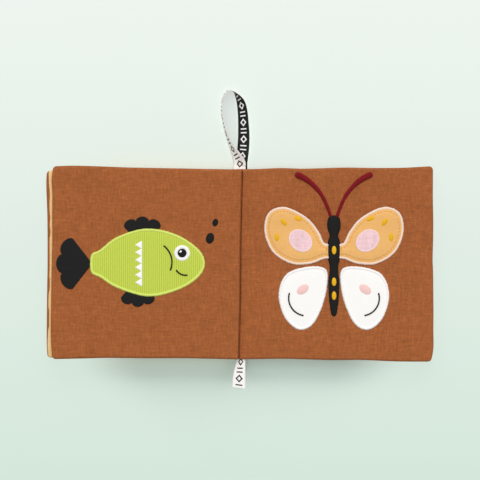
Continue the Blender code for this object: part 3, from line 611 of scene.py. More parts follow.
def coordinates(mesh):
    """A mesh's points as an array."""
    points = np.zeros(len(mesh.vertices) * 3)
    mesh.vertices.foreach_get("co", points)
    return points.reshape(-1, 3)


def blown_pad(seed):
    """Puckers of the two faces of a square pad, as grids of dents from 0 to 1."""
    share = np.linspace(0, 1, SIM_CELLS)
    x, y = np.meshgrid(share * SIM_SIZE, share * SIM_SIZE, indexing="ij")
    open_by = SIM_OPENING * np.sqrt(16 * np.outer(share * (1 - share), share * (1 - share)))
    rough = np.random.default_rng(seed).normal(0, SIM_ROUGHNESS, x.shape)
    rough[[0, -1]] = 0
    rough[:, [0, -1]] = 0
    faces = [np.stack([x, y, facing * open_by + rough], axis=-1) for facing in (1, -1)]
    points, quads, _ = joined([grid(face) for face in faces])
    mesh = bpy.data.meshes.new("blown_pad")
    mesh.from_pydata(points.tolist(), [], quads.tolist())
    pad = bpy.data.objects.new("blown_pad", mesh)
    bpy.context.scene.collection.objects.link(pad)
    weld(mesh)
    start = coordinates(mesh)
    rim = (np.minimum(start[:, :2], SIM_SIZE - start[:, :2]).min(axis=1) < SEAM_BAND).nonzero()[0]
    pad.vertex_groups.new(name="seam").add(rim.tolist(), 1.0, "REPLACE")
    cloth = pad.modifiers.new("Filling", "CLOTH")
    cloth.settings.use_pressure = True
    cloth.settings.uniform_pressure_force = SIM_PRESSURE
    cloth.settings.effector_weights.gravity = 0
    cloth.settings.vertex_group_shrink = "seam"
    cloth.settings.shrink_min = 0.0
    cloth.settings.shrink_max = SEAM_SHRINK
    cloth.settings.bending_stiffness = 0.2
    cloth.collision_settings.use_collision = False
    cloth.point_cache.frame_start = 1
    cloth.point_cache.frame_end = SIM_FRAMES
    for step in range(1, SIM_FRAMES + 1):
        bpy.context.scene.frame_set(step)
    shaped = pad.evaluated_get(bpy.context.evaluated_depsgraph_get()).to_mesh()
    end = start + np.clip(coordinates(shaped) - start, -SIM_CAP, SIM_CAP)
    bpy.context.scene.frame_set(1)
    bpy.data.objects.remove(pad)
    found = []
    for facing in (1, -1):
        height = np.zeros(x.shape)
        mine = (facing * start[:, 2] >= -0.5 * MM) & (facing * end[:, 2] >= -1 * MM)
        row, column = np.rint(start[mine, :2].T / SIM_SIZE * (SIM_CELLS - 1)).astype(int)
        height[row, column] = facing * end[mine, 2]
        puckers = smoothed(height, 14) - smoothed(height, 1)
        found.append(np.clip(puckers / FULL_PUCKER, 0, 1))
    print(f"Pad {seed}: puckers over {100 * np.mean(found[0] > 0.2):.0f}% of a face")
    return found


# %% [markdown]
# ## The surface of a leaf
# One cloth runs over the face and down its rolled edges to the seam. Across the roll the point turns
# by an angle, from 0 on the face to 90 degrees at the seam. The front cover's outer cloth is wider
# than the inner one, so there the seam lies up on the face and both cloths show from above.

# %% Rolled edges, round corners and dents
EDGE_ROLL = 2.3 * MM
SPINE_ROLL = 0.7 * MM
CORNER_RADIUS = 3.4 * MM
CLOTH_THICKNESS = 0.5 * MM
ROLL_STEPS = 9
FACE_STEPS = 92
PUCKER_DEPTH = 0.55 * MM
PUCKER_REACH = 14 * MM
HEM_LINE = 3.4 * MM
HEM_DEPTH = 0.16 * MM
HEM_WIDTH = 0.5 * MM


def stations():
    """Places across a leaf: (turn at the first edge, turn at the last edge, share across the face)."""
    first = np.concatenate([np.linspace(pi / 2, 0, ROLL_STEPS), np.zeros(FACE_STEPS - 2 + ROLL_STEPS)])
    roll = np.zeros(ROLL_STEPS - 1)
    return first, first[::-1], np.concatenate([roll, np.linspace(0, 1, FACE_STEPS), roll + 1])


def leaf_cloth(leaf, facing, dents, inset=0.0):
    """Points of one cloth. Across an edge they follow a quarter ellipse: in by roll (1 - sin turn), and
    up by half the leaf's thickness times cos turn. Where edges meet, the two cosines are multiplied."""
    spine_turn, free_turn, u = (row[:, None] for row in stations())
    low_turn, high_turn, v = stations()
    side, place_v = leaf["side"], 2 * v - 1
    free_turn = free_turn / (pi / 2) * (pi / 2 - facing * leaf["wrap"])
    spine_x = edge_curve(CREASE, place_v) + side * (CREASE_HALF + inset)
    free_x = edge_curve(leaf["free"], place_v) - side * inset
    top_y = edge_curve(leaf["top"], u) - inset
    bottom_y = edge_curve(leaf["bottom"], u) + inset
    roll = edge_curve(leaf["roll"], place_v)
    start = spine_x + side * SPINE_ROLL
    end = free_x - side * roll
    x = start + (end - start) * u
    x = x - side * SPINE_ROLL * np.sin(spine_turn) + side * roll * np.sin(free_turn)
    low, high = bottom_y + EDGE_ROLL, top_y - EDGE_ROLL
    y = low + (high - low) * v + EDGE_ROLL * (np.sin(high_turn) - np.sin(low_turn))
    x, y = rounded_corners(x, y, free_x, bottom_y, top_y, side)
    rise = np.cos(spine_turn) * np.cos(free_turn) * (np.cos(low_turn) * np.cos(high_turn))
    from_edge = np.minimum(np.minimum(y - bottom_y, top_y - y), np.abs(free_x - x))
    hem = HEM_DEPTH * np.exp(-(((from_edge - HEM_LINE) / HEM_WIDTH) ** 2))
    dent = read_grid(dents, (x - spine_x) / (free_x - spine_x), (y - bottom_y) / (top_y - bottom_y))
    depth = PUCKER_DEPTH * dent * np.exp(-from_edge / PUCKER_REACH)
    height = (LEAF_HALF - inset) * rise - (hem + depth) * np.clip(rise, 0, 1)
    return np.stack([x, y, leaf["middle"] + facing * height], axis=-1)


def rounded_corners(x, y, free_x, bottom_y, top_y, side):
    """The two outer corners made round: within a radius of a corner, a and b are the shares of the
    way to it along X and Y, and become a sqrt(1 - b^2 / 2) and b sqrt(1 - a^2 / 2)."""
    for edge, sign in ((top_y, 1), (bottom_y, -1)):
        a = np.clip(1 - np.abs(free_x - x) / CORNER_RADIUS, 0, 1)
        b = np.clip(1 - np.abs(edge - y) / CORNER_RADIUS, 0, 1)
        x = x - side * CORNER_RADIUS * a * (1 - np.sqrt(1 - b**2 / 2))
        y = y - sign * CORNER_RADIUS * b * (1 - np.sqrt(1 - a**2 / 2))
    return x, y


def read_grid(field, share_x, share_y):
    """The value of a coarse field at shares across it, straight between its points."""
    top = len(field) - 1
    column, row = np.clip(share_x, 0, 1) * top, np.clip(share_y, 0, 1) * top
    i, j = np.minimum(column.astype(int), top - 1), np.minimum(row.astype(int), top - 1)
    s, t = column - i, row - j
    near = field[i, j] * (1 - t) + field[i, j + 1] * t
    far = field[i + 1, j] * (1 - t) + field[i + 1, j + 1] * t
    return near * (1 - s) + far * s


# %% The six cloths
CLOTHS = (
    ("middle_leaf", "middle_leaf", ("upper_cloth", BROWN), ("lower_cloth", TAN)),
    ("front_cover", "front_cover", ("inner_cloth", TAN), ("outer_cloth", BROWN)),
    ("back_cover", "base", ("inner_cloth", BROWN), ("outer_cloth", BROWN)),
)
for leaf_name, body, *cloths in CLOTHS:
    leaf = LEAVES[leaf_name]
    puckers = blown_pad(leaf["seed"])
    for (cloth_name, finish), facing, dents in zip(cloths, (1, -1), puckers):
        faces = [leaf_cloth(leaf, facing, dents, inset) for inset in (0.0, CLOTH_THICKNESS)]
        inside_it = ("wadding", "crinkle_film") if facing > 0 else ()
        replaced = [f"{leaf_name}_{part}" for part in (cloth_name, *inside_it)]
        sewn = make_piece(f"{leaf_name}_{cloth_name}_sewn", shell(*faces), finish, body, replaced)
print("Leaves:", len(CLOTHS))

# %% [markdown]
# ## The spine
# A strip of the brown cloth joins the two covers and wraps round when the book closes. The middle
# leaf is held by a narrow margin of its own, which runs down into the crease.

# %% The spine strip and the leaf's margin
STRIP_HALF = 7 * MM
STRIP_THICKNESS = 0.45 * MM
STRIP_Z = STRIP_THICKNESS / 2 + 0.06 * MM
LINING_HALF = 2.6 * MM
LINING_Z = 2.3 * MM
STRIP_ROWS = 60


def strip(start, end, steps, low_y, high_y, bend=0.0):
    """A cloth strip along Y: a straight profile between two (x, z) points, carried from low_y to
    high_y, with a wall. Its X moves with the crease between the pages, by the share bend."""
    profile = np.linspace(start, end, steps)
    wall = sideways(directions(profile, False)) * STRIP_THICKNESS / 2
    faces = []
    for section in (profile + wall, profile - wall):
        x, y = np.meshgrid(section[:, 0], np.linspace(low_y, high_y, STRIP_ROWS), indexing="ij")
        x = x + bend * edge_curve(CREASE, y / HALF_PAGE)
        faces.append(np.stack([x, y, np.repeat(section[:, 1:], STRIP_ROWS, axis=1)], axis=-1))
    return shell(*faces)


surface = strip((STRIP_HALF, STRIP_Z), (-STRIP_HALF, STRIP_Z), 90, -78.6 * MM, 78.2 * MM)
spine = make_piece("spine_strip", surface, BROWN, replaced=["spine_cloth"])
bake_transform(spine)

surface = strip((LINING_HALF, LINING_Z), (-LINING_HALF, LINING_Z), 40, -79.4 * MM, 78.6 * MM)
lining = make_piece("spine_lining", surface, BROWN)
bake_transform(lining)

surface = strip((0, 2.4 * MM), (0, MIDDLE_LEAF_Z), 40, -78.4 * MM, 77.6 * MM, 1.0)
margin = make_piece("middle_leaf_margin", surface, BROWN, replaced=["spine_seam_thread"])
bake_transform(margin)
print("Spine done")

# %% [markdown]
# ## The hanging loop and the tag
# Both are one length of woven tape with its two ends sewn in between the covers. The loop's tape
# turns over by half a turn on its way round, so one strand shows its white side and the other its
# black side. A tape is flat and narrow, so it is carried along its route instead of simulated: the
# section is a thin rectangle, and the direction of its width is given at each point. The UV's second
# number is moved on by 100 mm on the back, which tells the finish which side it paints.

# %% A flat tape
TAPE_WIDTH = 10 * MM
TAPE_THICKNESS = 0.4 * MM
TAPE_LOWEST = 0.25 * MM
UPPER_LAYER = 1.65 * MM
LOWER_LAYER = 1.0 * MM
ACROSS_STEPS = 9
LIFT_WINDOW = 13


def ribbon(centres, widths, halves):
    """A flat tape: at each point the section runs half its width to either side of the middle line
    along the given direction, and half its thickness through. It is lifted where it would sink in."""
    across = widths / np.linalg.norm(widths, axis=1, keepdims=True)
    through = np.cross(across, directions(centres, False))
    through = through / np.linalg.norm(through, axis=1, keepdims=True)
    share = np.linspace(-1, 1, ACROSS_STEPS)
    share = np.concatenate([share, share[::-1], share[:1]])
    face = np.concatenate([np.ones(ACROSS_STEPS), -np.ones(ACROSS_STEPS), np.ones(1)])
    points = (
        centres[:, None]
        + across[:, None] * share[None, :, None] * halves[:, None, None]
        + through[:, None] * (face * TAPE_THICKNESS / 2)[None, :, None]
    )
    sunk = np.clip(TAPE_LOWEST - points[:, :, 2].min(axis=1), 0, None)
    sunk = np.pad(sunk, LIFT_WINDOW - 1, mode="edge")
    sunk = np.lib.stride_tricks.sliding_window_view(sunk, LIFT_WINDOW).max(axis=1)
    points[:, :, 2] += np.convolve(sunk, np.ones(LIFT_WINDOW) / LIFT_WINDOW, "valid")[:, None]
    walked = lengths_along(centres)
    across_uv = share * TAPE_WIDTH / 2 + (face < 0) * TAPE_BACK
    uv = np.stack(np.meshgrid(walked, across_uv, indexing="ij"), axis=-1)
    caps = []
    for end in (points[0], points[-1]):
        middle = end.mean(axis=0, keepdims=True)
        caps.append(grid(np.stack([end, np.repeat(middle, len(end), axis=0)])))
    return joined([grid(points, uv)] + caps), walked[-1]


def make_tape(name, route, body):
    """A tape along a route, which takes the place of its solid and the tape's sewn ends."""
    surface, length = ribbon(*route)
    piece = make_piece(name + "_tape", surface, TAPE, replaced=[body, name + "_tape_ends"])
    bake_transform(piece)
    print(f"The {name}'s tape is {length / MM:.0f} mm long")
    return piece


# %% The loop
LOOP_REACH = 63.5 * MM
LOOP_HINGE_Y = 80.6 * MM
LOOP_LIFT = 0.5 * MM
LOOP_END_STEPS = 14
LOOP_ROUTE = (
    (-0.004, 0.008, 0.00), (-0.006, 0.050, 0.08), (-0.046, 0.140, 0.25), (-0.112, 0.262, 0.37),
    (-0.176, 0.417, 0.44), (-0.217, 0.578, 0.46), (-0.241, 0.735, 0.465), (-0.222, 0.891, 0.455),
    (-0.167, 0.986, 0.445), (-0.112, 0.994, 0.46), (-0.052, 0.943, 0.56), (0.010, 0.839, 0.73),
    (0.036, 0.709, 0.80), (0.046, 0.551, 0.84), (0.050, 0.395, 0.90), (0.042, 0.238, 0.94),
    (0.028, 0.125, 0.97), (0.018, 0.050, 0.99), (0.018, 0.008, 1.00),
)


def loop_route():
    """The loop's middle line, width directions and half widths, with both sewn ends carried on into the
    seam. Each row of LOOP_ROUTE is X and Y as shares of the reach, and the share of half a turn."""
    route = smooth_route(LOOP_ROUTE, 260)
    tilt = route[:, 2] * pi
    share = np.linspace(0, 1, len(route))
    lift = np.interp(share, (0.0, 0.22, 0.80, 1.0), (UPPER_LAYER, LOOP_LIFT, LOOP_LIFT, LOWER_LAYER))
    x, y = LOOP_REACH * route[:, 0], LOOP_HINGE_Y + LOOP_REACH * route[:, 1]
    centres = np.stack([x, y, lift + TAPE_WIDTH / 2 * np.sin(tilt)], axis=1)
    heading = np.gradient(centres[:, :2], axis=0)
    heading = heading / np.linalg.norm(heading, axis=1, keepdims=True)
    across = -sideways(heading) * np.cos(tilt)[:, None]
    widths = np.column_stack([across, np.sin(tilt)])
    inwards = np.linspace(-5 * MM, -0.3 * MM, LOOP_END_STEPS)[:, None] * np.array([[0.0, 1.0, 0.0]])
    centres = np.vstack([centres[0] + inwards, centres, (centres[-1] + inwards)[::-1]])
    ends = [np.repeat(widths[[end]], LOOP_END_STEPS, 0) for end in (0, -1)]
    return centres, np.vstack([ends[0], widths, ends[1]]), np.full(len(centres), TAPE_WIDTH / 2)


loop = make_tape("loop", loop_route(), "hanging_loop")

# %% The tag
TAG_EDGES = (
    (-75.0, -3.2, 4.4, -3.0, 3.6), (-82.0, -3.2, 4.5, -3.0, 3.7), (-89.0, -4.9, 4.5, -4.4, 3.9),
    (-96.4, -6.2, 4.6, -5.6, 4.1), (-103.4, -6.5, 4.7, -6.1, 4.4),
)
TAG_FOLD = -103.4 * MM
TAG_SLANT = 0.14
TAG_SLANT_START = -85 * MM
TAG_STEPS = 44


def tag_route():
    """The tag's middle line, width directions and half widths: down the upper layer, round the fold,
    back below. Each row of TAG_EDGES is Y, the upper layer's two edges and the lower layer's, in
    millimetres."""
    edges = np.array(TAG_EDGES[::-1]) * MM
    down = np.linspace(edges[-1, 0], TAG_FOLD, TAG_STEPS)
    upper = [np.interp(down, edges[:, 0], edges[:, column]) for column in (1, 2)]
    lower = [np.interp(down, edges[:, 0], edges[:, column])[::-1] for column in (3, 4)]
    share = np.linspace(0, 1, 14)
    fold = [low[0] * share + high[-1] * (1 - share) for high, low in zip(upper, lower)]
    left, right = (np.concatenate(parts) for parts in zip(upper, fold, lower))
    radius = (UPPER_LAYER - LOWER_LAYER) / 2
    turn = pi / 2 - pi * share
    layers = [np.full(TAG_STEPS, height) for height in (UPPER_LAYER, LOWER_LAYER)]
    y = np.concatenate([down, TAG_FOLD - radius * np.cos(turn), down[::-1]])
    z = np.concatenate([layers[0], LOWER_LAYER + radius + radius * np.sin(turn), layers[1]])
    slant = TAG_SLANT * np.clip((y - TAG_SLANT_START) / (TAG_FOLD - TAG_SLANT_START), 0, 1)
    widths = np.stack([-np.ones(len(y)), slant, np.zeros(len(y))], axis=1)
    return np.stack([(left + right) / 2, y, z], axis=1), widths, (right - left) / 2


tag = make_tape("tag", tag_route(), "tag")

# %% [markdown]
# ## Patches, satin stitch and stitched lines
# Everything on the pages is appliqué: cut cloth, with a dense row of thread over its raw edge, and
# small details in thread alone. A patch is its outline drawn in towards a centre ring by ring, and its
# height is a function of the distance to the edge. A satin edge is an arch of thread carried along the
# outline, with one ridge for every thread and a slightly uneven outer side.

# %% Measuring outlines
def distance_to(points, outline):
    """The distance from each flat point to a closed outline, segment by segment."""
    flat = np.reshape(points, (-1, 1, 2))
    start = outline[None]
    step = np.roll(outline, -1, axis=0)[None] - start
    share = ((flat - start) * step).sum(-1) / np.maximum((step**2).sum(-1), 1e-18)
    nearest = start + np.clip(share, 0, 1)[..., None] * step
    return np.linalg.norm(flat - nearest, axis=-1).min(axis=1).reshape(np.shape(points)[:-1])


def inside(points, outline):
    """Whether each flat point lies in a closed outline, by the angle the outline turns about it."""
    flat = np.reshape(points, (-1, 1, 2))
    here = outline[None] - flat
    there = np.roll(outline, -1, axis=0)[None] - flat
    cross = here[..., 0] * there[..., 1] - here[..., 1] * there[..., 0]
    around = np.arctan2(cross, (here * there).sum(-1)).sum(axis=1)
    return (np.abs(around) > pi).reshape(np.shape(points)[:-1])


def area_of(outline):
    """The area in a closed outline: half the sum of x y' - x' y over its corners."""
    after = np.roll(outline, -1, axis=0)
    return abs((outline[:, 0] * after[:, 1] - after[:, 0] * outline[:, 1]).sum()) / 2


def laid(outline):
    """Works out the area in a patch's outline, which nothing uses."""
    area_of(outline)


# %% Heights as functions of a flat point
def rounded(edge, radius):
    """0 at the edge and 1 from the radius inwards, along a quarter circle."""
    share = np.clip(edge / radius, 0, 1)
    return np.sqrt(1 - (1 - share) ** 2)


def round_ends(walked, radius, least=1e-4):
    """1 along a path, and a quarter circle down to about 0 within a radius of either end."""
    left = np.minimum(walked, walked[-1] - walked)
    return np.sqrt(np.clip(1 - (1 - np.clip(left / radius, 0, 1)) ** 2, least, 1))


def level(height):
    """A height that is the same everywhere."""
    return lambda flat, edge=None: np.full(np.shape(flat)[:-1], height)


def above(surface, extra):
    """The height of a surface and a little more or less."""
    return lambda flat, edge=None: surface(flat) + extra


def crowned(base, outline, rise, reach):
    """The height of a sewn patch at distance e from its outline: rounded within 1.5 mm of the edge,
    then base + rise (1 - exp(-e / reach)) towards the middle, rise in millimetres."""

    def height(flat, edge=None):
        edge = distance_to(flat, outline)
        return base + MM * (0.45 * rounded(edge, 1.5 * MM) + rise * (1 - np.exp(-edge / reach)))

    return height


def raised(flat, height):
    """Flat points with a height."""
    return np.concatenate([flat, height[..., None]], axis=-1)


# %% Patches and filled ovals
UNDERSIDE = 0.1 * MM


def patch(outline, centre, top, bottom, rings=26, uv_turn=0.0):
    """A closed patch. Ring k is centre + (outline - centre)(1 - (k / rings)^1.6), and top and bottom
    give its heights from the point and its distance to the edge. The UV is the point, turned."""
    share = 1 - np.linspace(0, 1, rings) ** 1.6
    rim = np.vstack([outline, outline[:1]])
    centre = np.array(centre, float)
    flat = centre + (rim - centre)[None] * share[:, None, None]
    edge = distance_to(flat, outline)
    upper, lower = (raised(flat, face(flat, edge)) for face in (top, bottom))
    uv = turned(flat - centre, -uv_turn)
    wall = grid(np.stack([upper[0], lower[0]]), np.stack([uv[0], uv[0]]))
    return joined([grid(upper, uv), grid(lower, uv), wall])


def satin_oval(centre, radius_x, radius_y, turn, base, height):
    """A filled oval of thread: base + height (1 - r^2)^0.5 (0.5 + 0.5 (1 - r^2)), its threads crossing
    the longer way."""

    def top(flat, edge):
        gone = turned(flat - np.array(centre), -turn)
        left = np.clip(1 - (gone[..., 0] / radius_x) ** 2 - (gone[..., 1] / radius_y) ** 2, 0, 1)
        return base(flat) + height * np.sqrt(left) * (0.5 + 0.5 * left)

    outline = oval(centre, radius_x, radius_y, turn)
    long_way = turn if radius_x > radius_y else turn + pi / 2
    return patch(outline, centre, top, above(base, -UNDERSIDE), 12, long_way)


# %% Rows of thread
def satin_edge(outline, width, base, height, seed):
    """Thread over a closed edge. Across the width v goes from 0 to 1 and the height is
    base + height sin(pi v)^0.6 (0.84 + 0.16 |sin(pi u / pitch)|). Threads differ a little in length."""
    path, walked = even_steps(outline, STITCH_PITCH / 4, True)
    count = round(walked[-1] / STITCH_PITCH)
    u = walked / walked[-1] * count
    random = np.random.default_rng(seed)
    number = np.minimum(u.astype(int), count - 1)
    ridge = np.abs(np.sin(pi * u))
    out_by, in_by = (random.uniform(-0.05, 0.35, count)[number] * ridge * MM for _ in range(2))
    v = np.linspace(0, 1, 11)
    reach = -out_by[:, None] + (width + out_by + in_by)[:, None] * v[None]
    flat = path[:, None] + sideways(directions(path, True))[:, None] * reach[..., None]
    under = base(flat)
    over = under + height * np.sin(pi * v)[None] ** 0.6 * (0.84 + 0.16 * ridge)[:, None]
    uv = np.stack([np.repeat(u[:, None] * STITCH_PITCH, len(v), 1), reach], axis=-1)
    upper, lower = raised(flat, over), raised(flat, under - UNDERSIDE)
    return joined([grid(upper, uv), grid(lower, uv)] + side_walls(upper, lower))


def thread_tube(path, size, height, angle):
    """A round tube along a flat path: size cos(angle) to its side and size sin(angle) above height."""
    side = sideways(directions(path, False))
    flat = path[:, None] + side[:, None] * (size[:, None] * np.cos(angle)[None])[..., None]
    return raised(flat, height[:, None] + size[:, None] * np.sin(angle)[None])


def stitched(path, radius, base, stitch=2.1 * MM):
    """A row of running stitches as one tube, which swells and rises along each stitch."""
    path, walked = even_steps(np.array(path), 0.25 * MM, False)
    swell = np.abs(np.sin(pi * walked / stitch)) ** 0.5
    size = radius * (0.78 + 0.22 * swell) * round_ends(walked, radius, 0)
    angle = np.linspace(0, 2 * pi, 9)
    points = thread_tube(path, size, base(path) + 0.35 * radius * swell, angle)
    return grid(points, np.stack(np.meshgrid(walked, angle * radius, indexing="ij"), axis=-1))


def dashes(path, radius, base, length=1.7 * MM, space=1.0 * MM):
    """Separate stitches along a closed path, each a short tube of radius (1 - t^4)^0.5 at place t."""
    line, walked = even_steps(np.array(path), 0.2 * MM, True)
    count = max(int(walked[-1] / (length + space)), 1)
    t = np.linspace(-1, 1, 7)
    size = radius * np.sqrt(np.clip(1 - t**4, 0, 1))
    angle = np.linspace(0, 2 * pi, 7)
    stitches = []
    for start in (np.arange(count) + 0.5) * walked[-1] / count:
        flat = np.stack([np.interp(start + t * length / 2, walked, axis) for axis in line.T], axis=1)
        stitches.append(grid(thread_tube(flat, size, base(flat) + 0.3 * radius, angle)))
    return joined(stitches)


def make_stitches(node, surface, finish, body):
    """A piece of thread that stands for one solid."""
    return make_piece(node + "_stitches", surface, finish, body, [node])


# %% [markdown]
# ## The fish on the left page
# The left page carries a fish of ribbed lime cloth. Its fins and tail are black felt that comes out
# from under it, so the felt is thin below the body's edge and rises to its full height beside it. The
# eye, the band of triangles and the lines are embroidery.

# %% Places on the fish
FISH_X = -76 * MM
FISH_LENGTH = 94 * MM
FISH_HEIGHT = 58 * MM
EDGE_WIDTH = 2.5 * MM
EDGE_HEIGHT = 1.35 * MM
EDGE_TUCK = 0.8 * MM
FISH_OUTLINE = (
    (0.50, 0.00), (0.44, 0.21), (0.24, 0.42), (-0.02, 0.50), (-0.27, 0.38), (-0.42, 0.20),
    (-0.50, 0.12), (-0.50, -0.12), (-0.42, -0.20), (-0.27, -0.35), (0.00, -0.47),
    (0.26, -0.38), (0.44, -0.20),
)


def fish_place(x, y):
    """A place on the fish, in shares of its length and height from its middle."""
    return np.array((FISH_X + x * FISH_LENGTH, y * FISH_HEIGHT))


FISH_EDGE = smooth_outline([fish_place(x, y) for x, y in FISH_OUTLINE])
fish_top = crowned(LEFT_TOP, FISH_EDGE, 0.62, 5 * MM)

# %% The body and its satin edge
left_bottom = level(LEFT_TOP - UNDERSIDE)
surface = patch(moved_inwards(FISH_EDGE, EDGE_TUCK), (FISH_X, 0), fish_top, left_bottom, 34)
fish_body = make_piece("fish_cloth", surface, LIME, "middle_leaf", ["fish_body"])
laid(FISH_EDGE)
surface = satin_edge(FISH_EDGE, EDGE_WIDTH, level(LEFT_TOP), EDGE_HEIGHT, 21)
make_piece("fish_satin_edge", surface, GREEN_THREAD, "middle_leaf", ["fish_border"])

# %% Felt fins and tail
FAN_LOBES = 3
FAN_LOBE_SHARE = 0.14
FINS = (
    ("fish_tail", (-0.50 + 0.0106, 0.0), 30 * MM, pi, radians(104)),
    ("fish_back_fin", (-0.05, 0.24), 25 * MM, pi / 2, radians(86)),
    ("fish_belly_fin", (-0.09, -0.22), 23 * MM, -pi / 2, radians(86)),
)


def fan(centre, reach, middle_angle, spread, steps=150):
    """A fan with round lobes: its radius is reach (1 - s + s |sin(3 pi t)|^0.5) at share t of it."""
    t = np.linspace(0, 1, steps)
    angle = middle_angle + (t - 0.5) * spread
    lobes = np.sqrt(np.abs(np.sin(FAN_LOBES * pi * t)))
    radius = reach * (1 - FAN_LOBE_SHARE + FAN_LOBE_SHARE * lobes)
    arc = centre + radius[:, None] * np.stack([np.cos(angle), np.sin(angle)], axis=1)
    share = np.linspace(0, 1, 40)[1:-1, None]
    there, back = centre + (arc[0] - centre) * share, arc[-1] + (centre - arc[-1]) * share
    return np.vstack([there, arc, back, [centre]])


def felt_top(flat, edge):
    """The felt's height: 0.17 mm under the fish, and 0.95 mm more from 1.6 mm beside it."""
    beside = np.where(inside(flat, FISH_EDGE), 0, distance_to(flat, FISH_EDGE))
    risen = 0.95 * rounded(beside, 1.6 * MM) * rounded(edge, 1.5 * MM)
    return LEFT_TOP + MM * (0.05 + 0.12 * rounded(edge, 1 * MM) + risen)


for name, shares, reach, middle_angle, spread in FINS:
    root = fish_place(*shares)
    outline = fan(root, reach, middle_angle, spread)
    heading = np.array((cos(middle_angle), sin(middle_angle)))
    surface = patch(outline, root + 0.6 * reach * heading, felt_top, left_bottom, 30)
    felt_piece = make_piece(name + "_felt", surface, BLACK_FELT, "middle_leaf", [name])
    laid(outline)

# %% The eye
EYE_RADIUS = 6.5 * MM
PUPIL_RADIUS = 3.9 * MM
eye = fish_place(0.30, 0.15)
eye_edge = oval(eye, EYE_RADIUS, EYE_RADIUS, 0, 160)
surface = satin_edge(eye_edge, 2.9 * MM, above(fish_top, -0.05 * MM), 0.8 * MM, 22)
make_stitches("fish_eye", surface, WHITE_THREAD, "middle_leaf")
surface = satin_oval(eye, PUPIL_RADIUS, PUPIL_RADIUS, 0.4, fish_top, 0.75 * MM)
make_stitches("fish_pupil", surface, BLACK_THREAD, "middle_leaf")
glint = eye + np.array((-1.1, 1.2)) * MM
surface = satin_oval(glint, 1.2 * MM, 0.9 * MM, 0.6, above(fish_top, 0.45 * MM), 0.45 * MM)
make_piece("fish_eye_glint", surface, WHITE_THREAD, "middle_leaf")

# %% The band of triangles
TRIANGLES = 6
TRIANGLE_WIDTH = 6.2 * MM
TRIANGLE_HEIGHT = 5.0 * MM
TRIANGLE_BAND = 1.0 * MM


def triangle_top(flat, edge):
    """The thread's height on the fish."""
    return fish_top(flat) + 0.6 * MM * rounded(edge, 1.1 * MM)


right, high = fish_place(-0.05, 0.32)
left = right - TRIANGLE_BAND
triangles = []
for number in range(TRIANGLES):
    low = high - TRIANGLE_WIDTH
    middle = (high + low) / 2
    corners = [(right, high), (left, high), (left - TRIANGLE_HEIGHT, middle), (left, low), (right, low)]
    outline = even_steps(np.array(corners), 0.35 * MM, True)[0][:-1]
    centre = (right - 2.2 * MM, middle)
    triangles.append(patch(outline, centre, triangle_top, above(fish_top, -0.15 * MM), 10, pi / 2))
    high = low
make_piece("fish_triangle_stitches", joined(triangles), WHITE_THREAD, "middle_leaf", ["fish_triangles"])

# %% The lines and the bubbles
LINE_RADIUS = 0.65 * MM
BUBBLE_RADII = (3.4, 4.6)
FISH_LINES = (
    ("fish_gill", fish_place(0.03, 0.02), 17 * MM, radians(-24), radians(54)),
    ("fish_mouth", fish_place(0.33, -0.01), 9 * MM, radians(-150), radians(-78)),
)


def line(centre, radius, first, last, surface):
    """Running stitches along a circular arc on a surface."""
    angle = np.linspace(first, last, 60)
    path = np.array(centre) + radius * np.stack([np.cos(angle), np.sin(angle)], axis=1)
    return stitched(path, LINE_RADIUS, above(surface, 0.1 * MM))


for name, *arc in FISH_LINES:
    make_piece(name + "_stitches", line(*arc, fish_top), BLACK_THREAD, "middle_leaf", [name + "_line"])
bubble = fish_place(0.545, 0.36)
BUBBLES = (("bubble_large", bubble, 1.0), ("bubble_small", bubble + np.array((13 / 3, 13)) * MM, 0.7))
for name, place, size in BUBBLES:
    radii = [size * radius * MM for radius in BUBBLE_RADII]
    surface = satin_oval(place, *radii, radians(-14), level(LEFT_TOP), 0.9 * MM)
    make_stitches(name, surface, BLACK_THREAD, "middle_leaf")
print("Fish done")

# %% [markdown]
# ## The butterfly on the right page
# Each upper wing is a loose flap: two cloths with padding between them, a row of stitches near its
# edge and satin stitch round it. It is sewn down only along its inner edge, and its outer end stands a
# little off the page, which is what draws the soft dark line round it. The lower wings are white cloth
# sewn flat.

# %% Places on the wings
BUTTERFLY_X = 78 * MM
UPPER_HINGE = 7.8 * MM
WING_EDGE_WIDTH = 2.3 * MM
LOWER_WING = (40 * MM, 52 * MM)
UPPER_FRAME = (UPPER_HINGE, -1.2 * MM, 50 * MM, 48 * MM)
LOWER_FRAME = (5.9 * MM, -2.8 * MM, *LOWER_WING)
LIFT_START_Y = 26 * MM
LIFT_REACH = 21 * MM
TIP_LIFT = 2.0 * MM
UPPER_WING_OUTLINE = (
    (-0.10, 0.13), (0.02, 0.10), (0.24, 0.02), (0.55, 0.02), (0.86, 0.22), (1.00, 0.58), (0.93, 0.90),
    (0.66, 1.00), (0.30, 0.82), (0.10, 0.58), (0.01, 0.39), (-0.10, 0.34),
)
LOWER_WING_OUTLINE = (
    (0.02, -0.04), (0.00, -0.34), (0.12, -0.68), (0.32, -0.94), (0.60, -1.00), (0.88, -0.80),
    (1.00, -0.44), (0.84, -0.12), (0.40, 0.00),
)


def beside_body(side, frame):
    """A function that turns shares of a wing's size into places beside the body. A frame is the wing's
    start in X, its start in Y, its width and its height."""
    start, low, width, height = frame
    return lambda x, y: np.stack([BUTTERFLY_X + side * (start + x * width), low + y * height], axis=-1)


def wing_outline(shares, side, place):
    """A wing's outline beside the body, counter-clockwise on either side."""
    outline = place(*smooth_outline(shares).T)
    return outline if side > 0 else outline[::-1]


